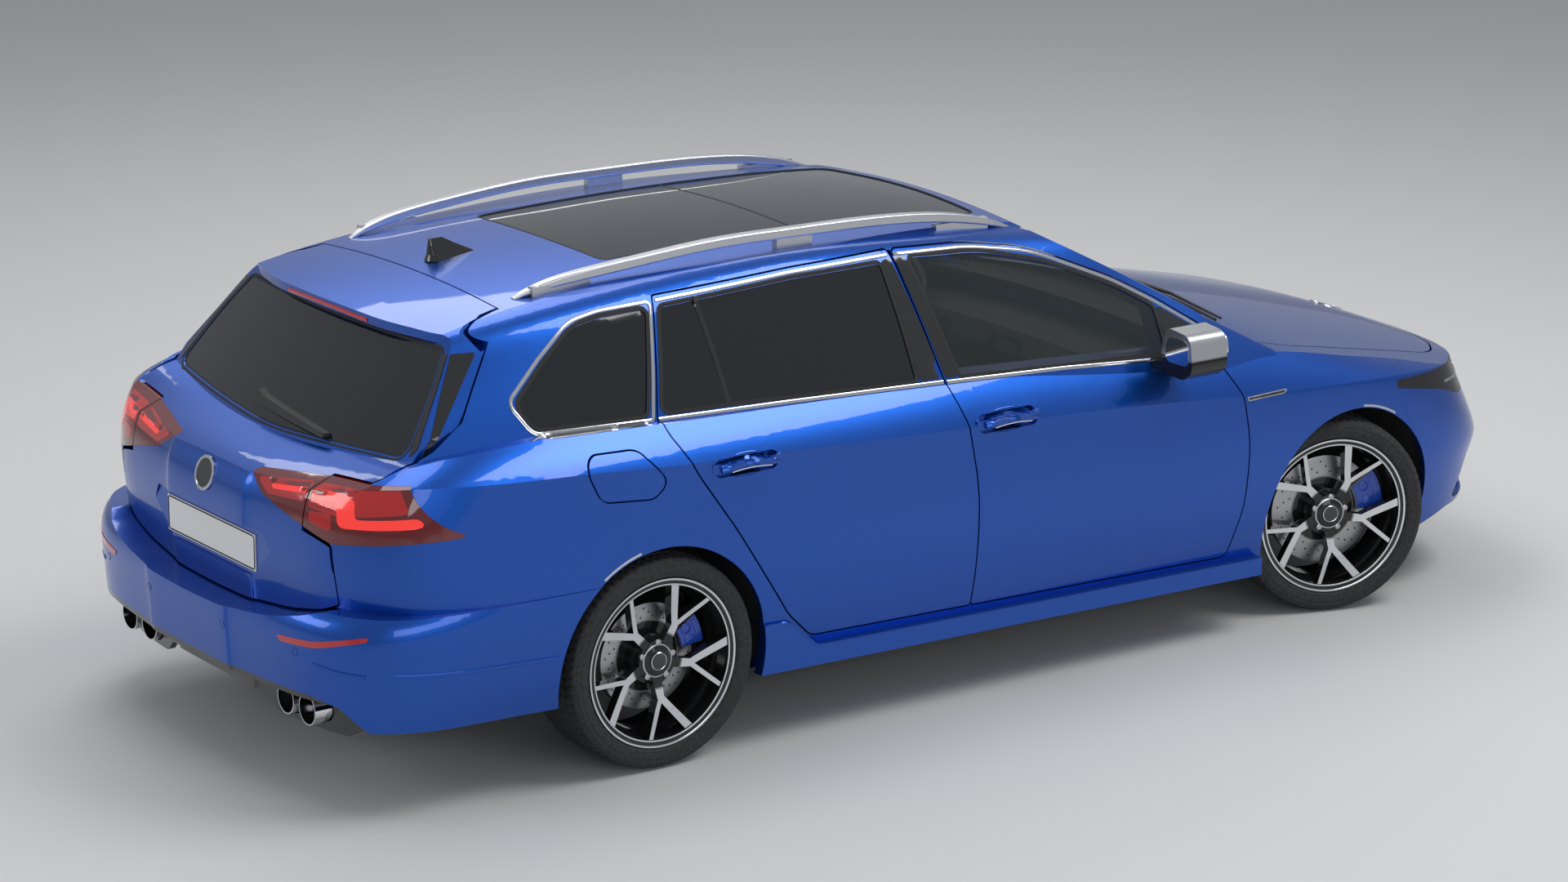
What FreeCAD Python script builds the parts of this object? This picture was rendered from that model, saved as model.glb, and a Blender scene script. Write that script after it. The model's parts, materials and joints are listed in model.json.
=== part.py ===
import FreeCAD, Part
import math
import os
from FreeCAD import Vector

# Station wagon, millimetres. +X forward, +Y left, +Z up, origin on the ground under the middle.

# Driving dimensions
LENGTH = 4650.0
WIDTH = 1789.0
HEIGHT = 1466.0
WHEELBASE = 2669.0
FRONT_OVERHANG = 888.0
TYRE_RADIUS = 323.0
TYRE_WIDTH = 235.0
RIM_RADIUS = 257.0
RIM_BARREL = 230.0
RIM_WIDTH = 218.0
WHEEL_FACE_Y = 871.0
ARCH_GAP = 33.0
HOUSING_GAP = 56.0
KINGPIN_Y = 700.0
STEER_REST = -17.0
PANEL = 22.0
FRAME_DEPTH = 72.0
SHUT_GAP = 5.0
SEAM = 0.4
GLASS = 4.0
GLASS_INSET = 3.0
FLOOR_Z = 175.0
FLOOR_THICK = 32.0
BOOT_FLOOR_Z = 560.0
TAIL_PIPE_RADIUS = 47.0
STEERING_WHEEL_RADIUS = 183.0

# Places that follow from them
NOSE_X = LENGTH / 2
TAIL_X = -LENGTH / 2
FRONT_AXLE_X = NOSE_X - FRONT_OVERHANG
REAR_AXLE_X = FRONT_AXLE_X - WHEELBASE
HALF_WIDTH = WIDTH / 2
ARCH_RADIUS = TYRE_RADIUS + ARCH_GAP
HOUSING_RADIUS = TYRE_RADIUS + HOUSING_GAP
RIGHT = -1
LEFT = 1
SIDES = (("left", LEFT), ("right", RIGHT))

# The body lines are drawn at these sizes and stretched between the real ones
DRAWN_X = (-2325.0, -1232.0, 1437.0, 2325.0)
DRAWN_HALF_WIDTH = 894.5
DRAWN_HEIGHT = 1466.0


def px(x):
    """Place a drawn length station between the tail, the axles and the nose."""
    real = (TAIL_X, REAR_AXLE_X, FRONT_AXLE_X, NOSE_X)
    k = 0 if x < DRAWN_X[1] else 1 if x < DRAWN_X[2] else 2
    share = (x - DRAWN_X[k]) / (DRAWN_X[k + 1] - DRAWN_X[k])
    return real[k] + share * (real[k + 1] - real[k])


def py(y):
    return y * HALF_WIDTH / DRAWN_HALF_WIDTH


def pz(z):
    """Heights above the wheel centre stretch with the roof height, those below stay."""
    low = 323.0
    if z <= low:
        return z
    return low + (z - low) * (HEIGHT - low) / (DRAWN_HEIGHT - low)


def mix(a, b, share):
    return a + (b - a) * share


def curve_through(points, params, ends=None):
    curve = Part.BSplineCurve()
    if ends:
        curve.interpolate(Points=points, Parameters=params, InitialTangent=ends[0],
                          FinalTangent=ends[1])
    else:
        curve.interpolate(Points=points, Parameters=params)
    return curve


def chord_params(points):
    params = [0.0]
    for a, b in zip(points, points[1:]):
        params.append(params[-1] + (b - a).Length)
    return [p / params[-1] for p in params]


def surface_through(rows, row_params, column_params, row_ends=None):
    """Tensor surface through rows of points; rows that two surfaces share come out the same."""
    row_curves = [curve_through(row, row_params, row_ends) for row in rows]
    pole_rows = [c.getPoles() for c in row_curves]
    column_curves = [curve_through(list(column), column_params) for column in zip(*pole_rows)]
    poles = [c.getPoles() for c in column_curves]
    u, v = row_curves[0], column_curves[0]
    surface = Part.BSplineSurface()
    surface.buildFromPolesMultsKnots(poles, u.getMultiplicities(), v.getMultiplicities(),
                                     u.getKnots(), v.getKnots(), False, False,
                                     u.Degree, v.Degree)
    return surface.toShape()


def place(a, b, axis, level):
    if axis == "X":
        return Vector(level, a, b)
    if axis == "Y":
        return Vector(a, level, b)
    return Vector(a, b, level)


AXIS = {"X": Vector(1, 0, 0), "Y": Vector(0, 1, 0), "Z": Vector(0, 0, 1)}


def rounded_wire(points, axis, level):
    """Closed outline; a third number on a point is its corner radius."""
    count = len(points)
    corners = []
    for k, point in enumerate(points):
        here = place(point[0], point[1], axis, level)
        before = place(points[k - 1][0], points[k - 1][1], axis, level)
        after = place(points[(k + 1) % count][0], points[(k + 1) % count][1], axis, level)
        radius = point[2] if len(point) > 2 else 0.0
        to_before, to_after = before - here, after - here
        room = 0.47 * min(to_before.Length, to_after.Length)
        to_before.normalize()
        to_after.normalize()
        half = 0.5 * to_before.getAngle(to_after)
        if radius <= 0 or half > 0.499 * math.pi:
            corners.append((here, here, here))
            continue
        reach = min(radius / math.tan(half), room)
        radius = reach * math.tan(half)
        inward = to_before + to_after
        inward.normalize()
        centre = here + inward * (radius / math.sin(half))
        corners.append((here + to_before * reach, centre - inward * radius,
                        here + to_after * reach))
    edges = []
    for k in range(count):
        start, middle, end = corners[k]
        if (end - start).Length > 1e-6:
            edges.append(Part.Arc(start, middle, end).toShape())
        following = corners[(k + 1) % count][0]
        if (following - end).Length > 1e-6:
            edges.append(Part.LineSegment(end, following).toShape())
    return Part.Wire(edges)


def prism(points, axis, low, high):
    face = Part.Face(rounded_wire(points, axis, low))
    return face.extrude(AXIS[axis] * (high - low))


def box(x, y, z):
    return Part.makeBox(x[1] - x[0], y[1] - y[0], z[1] - z[0], Vector(x[0], y[0], z[0]))


def grow(points, distance):
    """Move every side of an outline outwards by a distance, inwards when it is negative."""
    area = sum(a[0] * b[1] - b[0] * a[1] for a, b in zip(points, points[1:] + points[:1]))
    sign = 1.0 if area > 0 else -1.0
    count = len(points)
    moved = []
    for k, point in enumerate(points):
        before, after = points[k - 1], points[(k + 1) % count]
        ax, ay = point[0] - before[0], point[1] - before[1]
        bx, by = after[0] - point[0], after[1] - point[1]
        la, lb = math.hypot(ax, ay), math.hypot(bx, by)
        na = (sign * ay / la, -sign * ax / la)
        nb = (sign * by / lb, -sign * bx / lb)
        share = distance / (1.0 + na[0] * nb[0] + na[1] * nb[1])
        radius = point[2] if len(point) > 2 else 0.0
        moved.append((point[0] + (na[0] + nb[0]) * share, point[1] + (na[1] + nb[1]) * share,
                      max(radius + distance, 0.0) if radius else 0.0))
    return moved


def side_outline(points):
    return [(px(p[0]), pz(p[1])) + tuple(p[2:]) for p in points]


def plan_outline(points):
    return [(px(p[0]), py(p[1])) + tuple(p[2:]) for p in points]


def rear_outline(points):
    return [(py(p[0]), pz(p[1])) + tuple(p[2:]) for p in points]


def mirrored(shape):
    return shape.mirror(Vector(0, 0, 0), Vector(0, 1, 0))


def for_side(shape, side):
    """Shapes are made for the right side, where y is negative."""
    return shape if side == RIGHT else mirrored(shape)


def solids_of(shape, smallest=2000.0):
    return [s for s in shape.Solids if abs(s.Volume) > smallest]


NODES = {}


def keep(name, *shapes):
    parts = []
    for shape in shapes:
        parts.extend(solids_of(shape))
    NODES[name] = Part.Compound(parts) if len(parts) > 1 else parts[0]


# Body surfaces

# Plan stations round one side, nose to tail: x, y, height of the shoulder line,
# height of the belt line above it, share of the nose's and of the tail's section
STATIONS = (
    (2325, 0, 700, 40, 1.0, 0.0),
    (2312, 200, 702, 40, 1.0, 0.0),
    (2272, 430, 708, 40, 1.0, 0.0),
    (2196, 620, 720, 36, 0.95, 0.0),
    (2090, 755, 733, 32, 0.8, 0.0),
    (1960, 833, 740, 30, 0.5, 0.0),
    (1800, 873, 747, 32, 0.2, 0.0),
    (1600, 889, 757, 54, 0.05, 0.0),
    (1437, 893, 767, 78, 0.0, 0.0),
    (1100, 894.5, 783, 118, 0.0, 0.0),
    (500, 894.5, 829, 123, 0.0, 0.0),
    (0, 894.5, 855, 127, 0.0, 0.0),
    (-500, 894.5, 880, 119, 0.0, 0.0),
    (-900, 894.5, 901, 114, 0.0, 0.0),
    (-1232, 894, 919, 108, 0.0, 0.0),
    (-1500, 889, 938, 100, 0.0, 0.05),
    (-1750, 876, 949, 84, 0.0, 0.15),
    (-1900, 858, 956, 62, 0.0, 0.35),
    (-2020, 822, 958, 44, 0.0, 0.6),
    (-2110, 757, 953, 38, 0.0, 0.85),
    (-2175, 650, 947, 38, 0.0, 0.95),
    (-2215, 480, 938, 38, 0.0, 1.0),
    (-2242, 240, 926, 38, 0.0, 1.0),
    (-2250, 0, 921, 38, 0.0, 1.0),
)

# Rows of the lower body: height and inset at the nose, side and tail
LOWER_ROWS = (
    ((120, 125), (120, 80), (120, 70)),
    ((235, 32), (235, 48), (235, 55)),
    ((400, 3), (400, 13), (400, 30)),
    ((500, 0), (600, 0), (600, 18)),
    ((640, 66), (720, 4), (790, 0)),
)
SHOULDER_INSET = (100, 9, 45)
BELT_INSET = (165, 97, 112)
RING_TOP = 1150.0
RING_TOP_INSET = (190, 125, 140)


def blend_row(values, nose, tail):
    return values[1] + nose * (values[0] - values[1]) + tail * (values[2] - values[1])


def station_normals(plan):
    """Inward directions in plan."""
    normals = []
    for k in range(len(plan)):
        along = plan[min(k + 1, len(plan) - 1)] - plan[max(k - 1, 0)]
        normal = Vector(along.y, -along.x, 0)
        normals.append(normal.normalize())
    normals[0] = Vector(-1, 0, 0)
    normals[-1] = Vector(1, 0, 0)
    return normals


def closed_ring(right_faces, bottom, top):
    """Close the faces of both sides with flat ends."""
    faces = []
    for face in right_faces:
        faces += [face, mirrored(face)]
    for level in (bottom, top):
        edges = [e for f in faces for e in f.Edges
                 if abs(e.BoundBox.ZMin - level) < 1e-3 and abs(e.BoundBox.ZMax - level) < 1e-3]
        faces.append(Part.Face(Part.Wire(Part.__sortEdges__(edges))))
    shell = Part.Shell(faces)
    shell.sewShape()
    solid = Part.Solid(shell)
    if solid.Volume < 0:
        solid.reverse()
    return solid


def ring_rows(inset):
    """Rows of points of one side, each moved inwards by its own inset and the given one."""
    plan = [Vector(px(s[0]), -py(s[1]), 0) for s in STATIONS]
    normals = station_normals(plan)
    rows = []
    bottom = -40.0 if inset else 0.0
    for k, row in enumerate(LOWER_ROWS):
        points = []
        for station, at, normal in zip(STATIONS, plan, normals):
            height = blend_row([r[0] for r in row], station[4], station[5])
            move = blend_row([r[1] for r in row], station[4], station[5]) + inset
            points.append(at + normal * move + Vector(0, 0, pz(height) + (bottom if k == 0 else 0)))
        rows.append(points)
    for share, insets in ((0.0, SHOULDER_INSET), (0.5, None), (1.0, BELT_INSET)):
        points = []
        for station, at, normal in zip(STATIONS, plan, normals):
            height = pz(station[2] + share * station[3])
            if insets:
                move = blend_row(insets, station[4], station[5])
            else:
                low = blend_row(SHOULDER_INSET, station[4], station[5])
                high = blend_row(BELT_INSET, station[4], station[5])
                move = mix(low, high, 0.42)
            points.append(at + normal * (move + inset) + Vector(0, 0, height))
        rows.append(points)
    points = []
    for station, at, normal in zip(STATIONS, plan, normals):
        move = blend_row(RING_TOP_INSET, station[4], station[5]) + inset
        points.append(at + normal * move + Vector(0, 0, pz(RING_TOP)))
    rows.append(points)
    return rows


def ring_solid(inset):
    rows = ring_rows(inset)
    params = chord_params(rows[3])
    ends = (Vector(0, -1, 0), Vector(0, 1, 0))
    lower = surface_through(rows[:6], params, [0, 0.2, 0.42, 0.68, 0.84, 1], ends)
    upper = surface_through(rows[5:8], params, [0, 0.5, 1], ends)
    top = surface_through(rows[7:9], params, [0, 1], ends)
    return closed_ring([lower, upper, top], rows[0][0].z, rows[-1][0].z)


# Upper deck of the lower body, bonnet to tail: x, height at the edge, crown in the middle
DECK = (
    (2480, 560, 20), (2330, 634, 28), (2230, 668, 34), (2100, 704, 46), (1960, 732, 54),
    (1800, 765, 57), (1600, 807, 58), (1437, 841, 58), (1279, 873, 58), (1120, 897, 56),
    (900, 914, 40), (600, 937, 10), (200, 962, 0), (-300, 988, 0), (-746, 1006, 0),
    (-1210, 1022, 0), (-1590, 1036, -4), (-1850, 1022, -22), (-1995, 1003, -25),
    (-2045, 985, -20), (-2120, 946, -1), (-2205, 898, 18), (-2320, 830, 20),
)
DECK_EDGE = 790.0
DECK_SPAN = (-1000, -790, -400, 0, 400, 790, 1000)

# Side of the cabin: x, inset in plan, fall of the roof line
CABIN_COLUMNS = (
    (1450, 90, -300), (1200, 50, -225), (900, 22, -145), (500, 5, -76), (0, 0, -25),
    (-500, 0, 0), (-1000, 2, -12), (-1300, 8, -32), (-1600, 22, -62), (-1900, 62, -105),
    (-2200, 125, -160),
)
# Its rows: height, half width, share of the roof's fall
CABIN_ROWS = (
    (840, 867, 0.0), (1000, 791, 0.0), (1150, 729, 0.5), (1290, 661, 0.92), (1358, 620, 1.0),
    (1386, 588, 1.0), (1403, 545, 1.0), (1425, 500, 1.0), (1500, 420, 1.0),
)
ROOF_COLUMNS = (
    (900, 1290), (600, 1345), (330, 1388), (0, 1415), (-500, 1428), (-1000, 1420), (-1300, 1402),
    (-1533, 1376), (-1700, 1349), (-1850, 1315), (-2100, 1240),
)
ROOF_CROWN = 24.0
ROOF_CROWN_AT = 510.0
ROOF_SPAN = (-900, -510, -250, 0, 250, 510, 900)
SCREEN_ROWS = (
    (840, 1386), (948, 1190), (1060, 985), (1170, 775), (1280, 556), (1388, 330), (1480, 128),
)
SCREEN_SWEEP = 128.0
SCREEN_SPAN = (-950, -600, -300, 0, 300, 600, 950)
BACK_ROWS = (
    (1480, -1640), (1300, -1780), (1200, -1862), (1100, -1942), (965, -2045), (840, -2134),
)
BACK_SWEEP = 55.0
SIDE_SLOPE = 1.107
SCREEN_SLOPE = 2.2
BACK_SLOPE = 1.276


def heightfield_params(values):
    low, high = values[0], values[-1]
    return [(v - low) / (high - low) for v in values]


def deck_solid(inset):
    rows = []
    for x, edge, crown in DECK:
        rows.append([Vector(px(x), py(y), pz(edge + crown * (1 - (y / DECK_EDGE) ** 2)) - inset)
                     for y in DECK_SPAN])
    face = surface_through(rows, heightfield_params(DECK_SPAN),
                           heightfield_params([d[0] for d in DECK]))
    return face.extrude(Vector(0, 0, -1200))


def cabin_side(inset):
    rows = []
    for height, half, share in CABIN_ROWS:
        rows.append([Vector(px(x), -py(half - plan) + inset * SIDE_SLOPE, pz(height + share * fall))
                     for x, plan, fall in CABIN_COLUMNS])
    return surface_through(rows, heightfield_params([c[0] for c in CABIN_COLUMNS]),
                           [0, 0.22, 0.44, 0.66, 0.77, 0.83, 0.89, 0.95, 1])


def roof_face(inset):
    rows = []
    for x, height in ROOF_COLUMNS:
        rows.append([Vector(px(x), py(y), pz(height - ROOF_CROWN * (y / ROOF_CROWN_AT) ** 2) - inset)
                     for y in ROOF_SPAN])
    return surface_through(rows, heightfield_params(ROOF_SPAN),
                           heightfield_params([r[0] for r in ROOF_COLUMNS]))


def screen_face(inset):
    rows = []
    for height, x in SCREEN_ROWS:
        rows.append([Vector(px(x - SCREEN_SWEEP * (y / 745.0) ** 2) - inset * SCREEN_SLOPE,
                            py(y), pz(height)) for y in SCREEN_SPAN])
    return surface_through(rows, heightfield_params(SCREEN_SPAN),
                           heightfield_params([r[0] for r in SCREEN_ROWS]))


def back_face(inset):
    rows = []
    for height, x in BACK_ROWS:
        rows.append([Vector(px(x + BACK_SWEEP * (y / 678.0) ** 2) + inset * BACK_SLOPE,
                            py(y), pz(height)) for y in SCREEN_SPAN])
    return surface_through(rows, heightfield_params(SCREEN_SPAN),
                           heightfield_params([r[0] for r in BACK_ROWS]))


def cabin_solid(inset):
    side = cabin_side(inset)
    across = Vector(0, 2200, 0)
    block = roof_face(inset).extrude(Vector(0, 0, -620))
    block = block.common(side.extrude(across))
    block = block.common(mirrored(side).extrude(across * -1))
    block = block.common(screen_face(inset).extrude(Vector(-4500, 0, 0)))
    return block.common(back_face(inset).extrude(Vector(4500, 0, 0)))


def lower_solid(inset):
    return ring_solid(inset).common(deck_solid(inset))


# Rear bumper: it stands out from the tail below the tailgate
BUMPER_ROWS = (
    ((120, 80), (120, 80), (120, -28)),
    ((235, 48), (235, 48), (235, -52)),
    ((330, 24), (330, 24), (330, -62)),
    ((461, 7), (461, 7), (461, -71)),
    ((560, 1.5), (560, 1.5), (560, -66)),
    ((598, 0), (598, 0), (598, -40)),
)


def bumper_solid(inset):
    plan = [Vector(px(s[0]), -py(s[1]), 0) for s in STATIONS]
    normals = station_normals(plan)
    rows = []
    for k, row in enumerate(BUMPER_ROWS):
        drop = -40.0 if inset and k == 0 else 0.0
        rows.append([at + normal * (blend_row([r[1] for r in row], s[4], s[5]) + inset)
                     + Vector(0, 0, pz(row[0][0]) + drop)
                     for s, at, normal in zip(STATIONS, plan, normals)])
    params = chord_params(rows[3])
    ends = (Vector(0, -1, 0), Vector(0, 1, 0))
    face = surface_through(rows, params, [0, 0.24, 0.44, 0.71, 0.91, 1], ends)
    return closed_ring([face], rows[0][0].z, rows[-1][0].z)


# Side view outlines, right side: length, height, corner radius
FRONT_DOOR = (
    (935, 262, 30), (-96, 291, 12), (-92, 671, 900), (-128, 866, 500), (-155, 983, 300),
    (-232, 1372, 25), (68, 1354, 900), (300, 1312, 700), (590, 1188, 900), (730, 1114, 900),
    (884, 1010, 25), (903, 916, 60), (967, 789, 200), (991, 640, 500), (981, 430, 500),
)
REAR_DOOR = (
    (-96, 291, 12), (-700, 308, 60), (-792, 394, 200), (-896, 551, 600), (-991, 700, 600),
    (-1121, 882, 500), (-1190, 1012, 100), (-1094, 1350, 12), (-607, 1368, 1500),
    (-236, 1372, 12), (-155, 983, 300), (-128, 866, 500), (-92, 671, 900),
)
FRONT_WINDOW = (
    (-92, 1000, 12), (706, 958, 12), (716, 1086, 25), (586, 1163, 900), (322, 1268, 700),
    (100, 1323, 700), (-172, 1340, 14),
)
REAR_WINDOW = (
    (-1160, 1046, 14), (-946, 1041, 900), (-258, 1008, 12), (-282, 1338, 14),
    (-607, 1337, 1500), (-1082, 1316, 20),
)
QUARTER_WINDOW = (
    (-1216, 1046, 18), (-1128, 1318, 14), (-1287, 1312, 300), (-1380, 1297, 160),
    (-1500, 1215, 500), (-1622, 1118, 30), (-1580, 1056, 30),
)
FUEL_FLAP = (
    (-1516, 984, 45), (-1309, 976, 60), (-1218, 872, 45), (-1271, 829, 45), (-1448, 845, 50),
)
FENDER_SIDE = (
    (922, 120), (922, 262), (966, 430), (976, 640), (952, 789), (890, 916), (905, 940),
    (1040, 1000), (1500, 1100), (2500, 1100), (2500, 120),
)
FRONT_BUMPER_SIDE = (
    (1560, 120), (1697, 560), (1655, 690), (1640, 780), (2500, 780), (2500, 120),
)
REAR_BUMPER_SIDE = (
    (-1400, 100), (-1400, 597), (-2500, 597), (-2500, 100),
)
GATE_SIDE = (
    (-1548, 1500), (-1548, 1325), (-1640, 1296), (-1880, 985), (-1880, 880), (-2062, 860),
    (-2062, 500), (-2450, 500), (-2450, 1500),
)
# The gate keeps this far from its hinge line beside the fixed corners: width, radius
GATE_SWING_TOP = (
    (485, 0), (497, 76), (512, 94), (519, 122), (530, 134), (542, 158), (552, 168), (606, 172),
    (612, 0),
)
GATE_SWING_SIDE = ((692, 0), (694, 647), (722, 647), (722, 0))
GATE_SWING_LOW = ((504, 0), (504, 879), (614, 879), (618, 926), (645, 926), (645, 0))
GATE_HINGE = (-1546.0, 1378.0)

# Rear and front view outlines: width, height, corner radius
GATE_REAR = (
    (-493, 1470), (-493, 1352, 20), (-627, 1265, 30), (-672, 1150, 900), (-714, 1014, 60),
    (-690, 962, 40), (-512, 934, 20), (-512, 812, 30), (-622, 786, 20), (-627, 606, 14),
    (-560, 578, 200), (-420, 548, 900), (-200, 528, 1500), (0, 524, 3000), (200, 528, 1500),
    (420, 548, 900), (560, 578, 200), (627, 606, 14),
    (622, 786, 20), (512, 812, 30), (512, 934, 20), (690, 962, 40),
    (714, 1014, 60), (672, 1150, 900), (627, 1265, 30), (493, 1352, 20), (493, 1470),
)
BUMPER_TOP = (
    (-700, 597, 60), (-630, 597, 60), (-560, 575, 200), (-420, 545, 900), (-200, 525, 1500),
    (0, 521, 3000), (200, 525, 1500), (420, 545, 900), (560, 575, 200), (630, 597, 60),
    (700, 597, 60),
)
BACK_WINDOW = (
    (-658, 1008, 30), (-600, 1180, 900), (-548, 1272, 25), (548, 1272, 25), (600, 1180, 900),
    (658, 1008, 30), (0, 976, 3000),
)
WINDSCREEN = (
    (-706, 930, 20), (-668, 1090, 1500), (-590, 1275, 900), (-548, 1350, 40), (0, 1366, 4000),
    (548, 1350, 40), (590, 1275, 900), (668, 1090, 1500), (706, 930, 20),
)
TAIL_LAMP = (
    (219, 921, 6), (506, 948, 900), (780, 966, 12), (858, 812, 8), (622, 788, 20), (506, 818, 200),
    (306, 866, 30),
)
HEADLAMP = (
    (392, 704, 4), (410, 660, 20), (640, 620, 60), (800, 628, 60), (870, 694, 60), (892, 742, 4),
    (800, 738, 900), (600, 722, 900),
)
GRILLE_BAND = ((-386, 695), (-404, 660, 10), (404, 660, 10), (386, 695), (0, 689, 2000))
LOWER_INTAKE = (
    (-500, 470, 20), (-560, 300, 30), (-480, 238, 20), (480, 238, 20), (560, 300, 30),
    (500, 470, 20),
)
SIDE_INTAKE = ((585, 470, 15), (640, 270, 20), (800, 262, 25), (770, 470, 20))

DIFFUSER_TOP = 350
DIFFUSER = (
    (-790, 100), (-790, 240), (-700, 330, 60), (-600, 350, 60), (600, 350, 60), (700, 330, 60),
    (790, 240), (790, 100),
)
DIFFUSER_PANEL = (
    (-700, 250, 10), (-610, 342), (610, 342), (700, 250, 10), (640, 216, 20), (330, 222, 30),
    (290, 262, 30), (-290, 262, 30), (-330, 222, 30), (-640, 216, 20),
)
LIP_HEIGHT = 16.0
LIP_INSET = 4.0
DIFFUSER_INSET = 88.0

# Plan outlines: length, width, corner radius
BONNET_PLAN = (
    (2200, 0, 3000), (2182, 220, 900), (2140, 400, 500), (2060, 575, 300), (1960, 690, 300),
    (1279, 742, 200), (1130, 704, 40), (1172, 400, 900), (1200, 0, 3000), (1172, -400, 900),
    (1130, -704, 40), (1279, -742, 200), (1960, -690, 300), (2060, -575, 300), (2140, -400, 500),
    (2182, -220, 900),
)
COWL_PLAN = (
    (1186, 0), (1160, 400), (1122, 700), (1080, 726), (700, 726), (700, -726), (1080, -726),
    (1122, -700), (1160, -400),
)
ROOF_PLAN = (
    (-1543, 0, 4000), (-1536, 500), (-1520, 536), (420, 536), (420, -536), (-1520, -536),
    (-1536, -500),
)
ROOF_GLASS_PLAN = (
    (-1104, 0, 5000), (-1092, 352, 30), (262, 398, 40), (292, 0, 5000), (262, -398, 40),
    (-1092, -352, 30),
)
SPOILER_PLAN = (
    (-1660, 0), (-1660, 640), (-1699, 632), (-1765, 520, 400), (-1818, 300, 900),
    (-1835, 0, 3000), (-1818, -300, 900), (-1765, -520, 400), (-1699, -632), (-1660, -640),
)


def side_prism(points, change=0.0, depth=1200.0):
    """Outline in side view, cut through the right half of the body."""
    return prism(grow(side_outline(points), change), "Y", -depth, 0.0)


def end_prism(points, change, low, high):
    return prism(grow(rear_outline(points), change), "X", low, high)


def plan_prism(points, change, low, high):
    return prism(grow(plan_outline(points), change), "Z", low, high)


class Body:
    """The closed outer form and the same form moved inwards by each wall thickness."""

    def __init__(self):
        self.lower = {}
        self.cabin = {}
        self.whole = {}

    def low(self, inset):
        if inset not in self.lower:
            self.lower[inset] = lower_solid(inset)
        return self.lower[inset]

    def top(self, inset):
        if inset not in self.cabin:
            self.cabin[inset] = cabin_solid(inset)
        return self.cabin[inset]

    def all(self, inset):
        if inset not in self.whole:
            self.whole[inset] = self.low(inset).fuse(self.top(inset))
        return self.whole[inset]

    def layer(self, region, outer, inner):
        """Wall of the body between two depths, inside a region."""
        return self.all(outer).common(region).cut(self.all(inner))

    def pane(self, region):
        return self.top(GLASS_INSET).common(region).cut(self.top(GLASS_INSET + GLASS))


BODY = Body()


# Cutting shapes that several pieces share

GROUND_SIDE = (
    (-2600, -50), (-2600, 268), (-2050, 262), (-1600, 247), (-905, 238), (1065, 200),
    (1750, 192), (1944, 246), (2600, 268), (2600, -50),
)
FRAME_FRONT_X = 1000.0
FRAME_ROOF_Y = 492.0
STRUT_Y = 585.0
FRONT_HOUSING_Y = 440.0
REAR_HOUSING_Y = 600.0


def wheel_cylinder(axle_x, radius, y_low, y_high):
    return Part.makeCylinder(radius, y_high - y_low, Vector(axle_x, y_low, TYRE_RADIUS),
                             Vector(0, 1, 0))


def arches(radius, front_y, rear_y, outer=1200.0):
    """Round cuts of the right side's wheel housings."""
    front = wheel_cylinder(FRONT_AXLE_X, radius, -outer, -front_y)
    rear = wheel_cylinder(REAR_AXLE_X, radius, -outer, -rear_y)
    return [front, rear]


DOOR_SPACE = box((px(-1300), px(1100)), (-1200, -py(535)), (0, 1500))
RIGHT_HALF = box((-2700, 2700), (-1200, 0), (0, 1600))
GROUND = prism(side_outline(GROUND_SIDE), "Y", -1300, 1300)
GATE_CUT = end_prism(GATE_REAR, SHUT_GAP / 2, TAIL_X - 100, 0).common(
    prism(grow(side_outline(GATE_SIDE), SHUT_GAP / 2), "Y", -1200, 1200))
GATE_FORM = end_prism(GATE_REAR, -SHUT_GAP / 2, TAIL_X - 100, 0).common(
    prism(grow(side_outline(GATE_SIDE), -SHUT_GAP / 2), "Y", -1200, 1200))
LAMP_X = px(-1880)
TAIL_LAMP_CUT = end_prism([(-a[0],) + a[1:] for a in TAIL_LAMP], SEAM, TAIL_X - 100, LAMP_X)
TAIL_LAMP_FORM = end_prism([(-a[0],) + a[1:] for a in TAIL_LAMP], 0, TAIL_X - 100, LAMP_X)
HEADLAMP_CUT = end_prism([(-a[0],) + a[1:] for a in HEADLAMP], SEAM, px(1630), NOSE_X + 100)
HEADLAMP_FORM = end_prism([(-a[0],) + a[1:] for a in HEADLAMP], 0, px(1630), NOSE_X + 100)
SCREEN_CUT = end_prism(WINDSCREEN, SEAM, px(-100), px(1500))
SCREEN_FORM = end_prism(WINDSCREEN, 0, px(-100), px(1500))


FILLER_AT = (-1372.0, 905.0)
FILLER_RADIUS = 52.0
PAD_AT = (-1245.0, 872.0)
PAD_RADIUS = 7.0


def make_flap():
    region = side_prism(FUEL_FLAP, -SHUT_GAP / 2)
    return biggest(BODY.layer(region, 0.0, GRILLE_DEPTH), 1)


HINGE_LEVELS = (430.0, 760.0)
HINGE_HEIGHT = 60.0


def hinge_bands():
    return [box((-2000, 2000), (-1200, 0), (z - HINGE_HEIGHT / 2, z + HINGE_HEIGHT / 2))
            for z in HINGE_LEVELS]


def front_hinges():
    """Room of the hinge halves between the front pillar and the door's inner edge."""
    ahead = box((px(900), px(1100)), (-1200, 0), (0, 1500))
    whole = side_prism(FRONT_DOOR, SHUT_GAP).cut(side_prism(FRONT_DOOR, REST_GAP - DOOR_INSET))
    bands = hinge_bands()
    return whole.common(ahead).common(bands[0].fuse(bands[1]))


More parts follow.
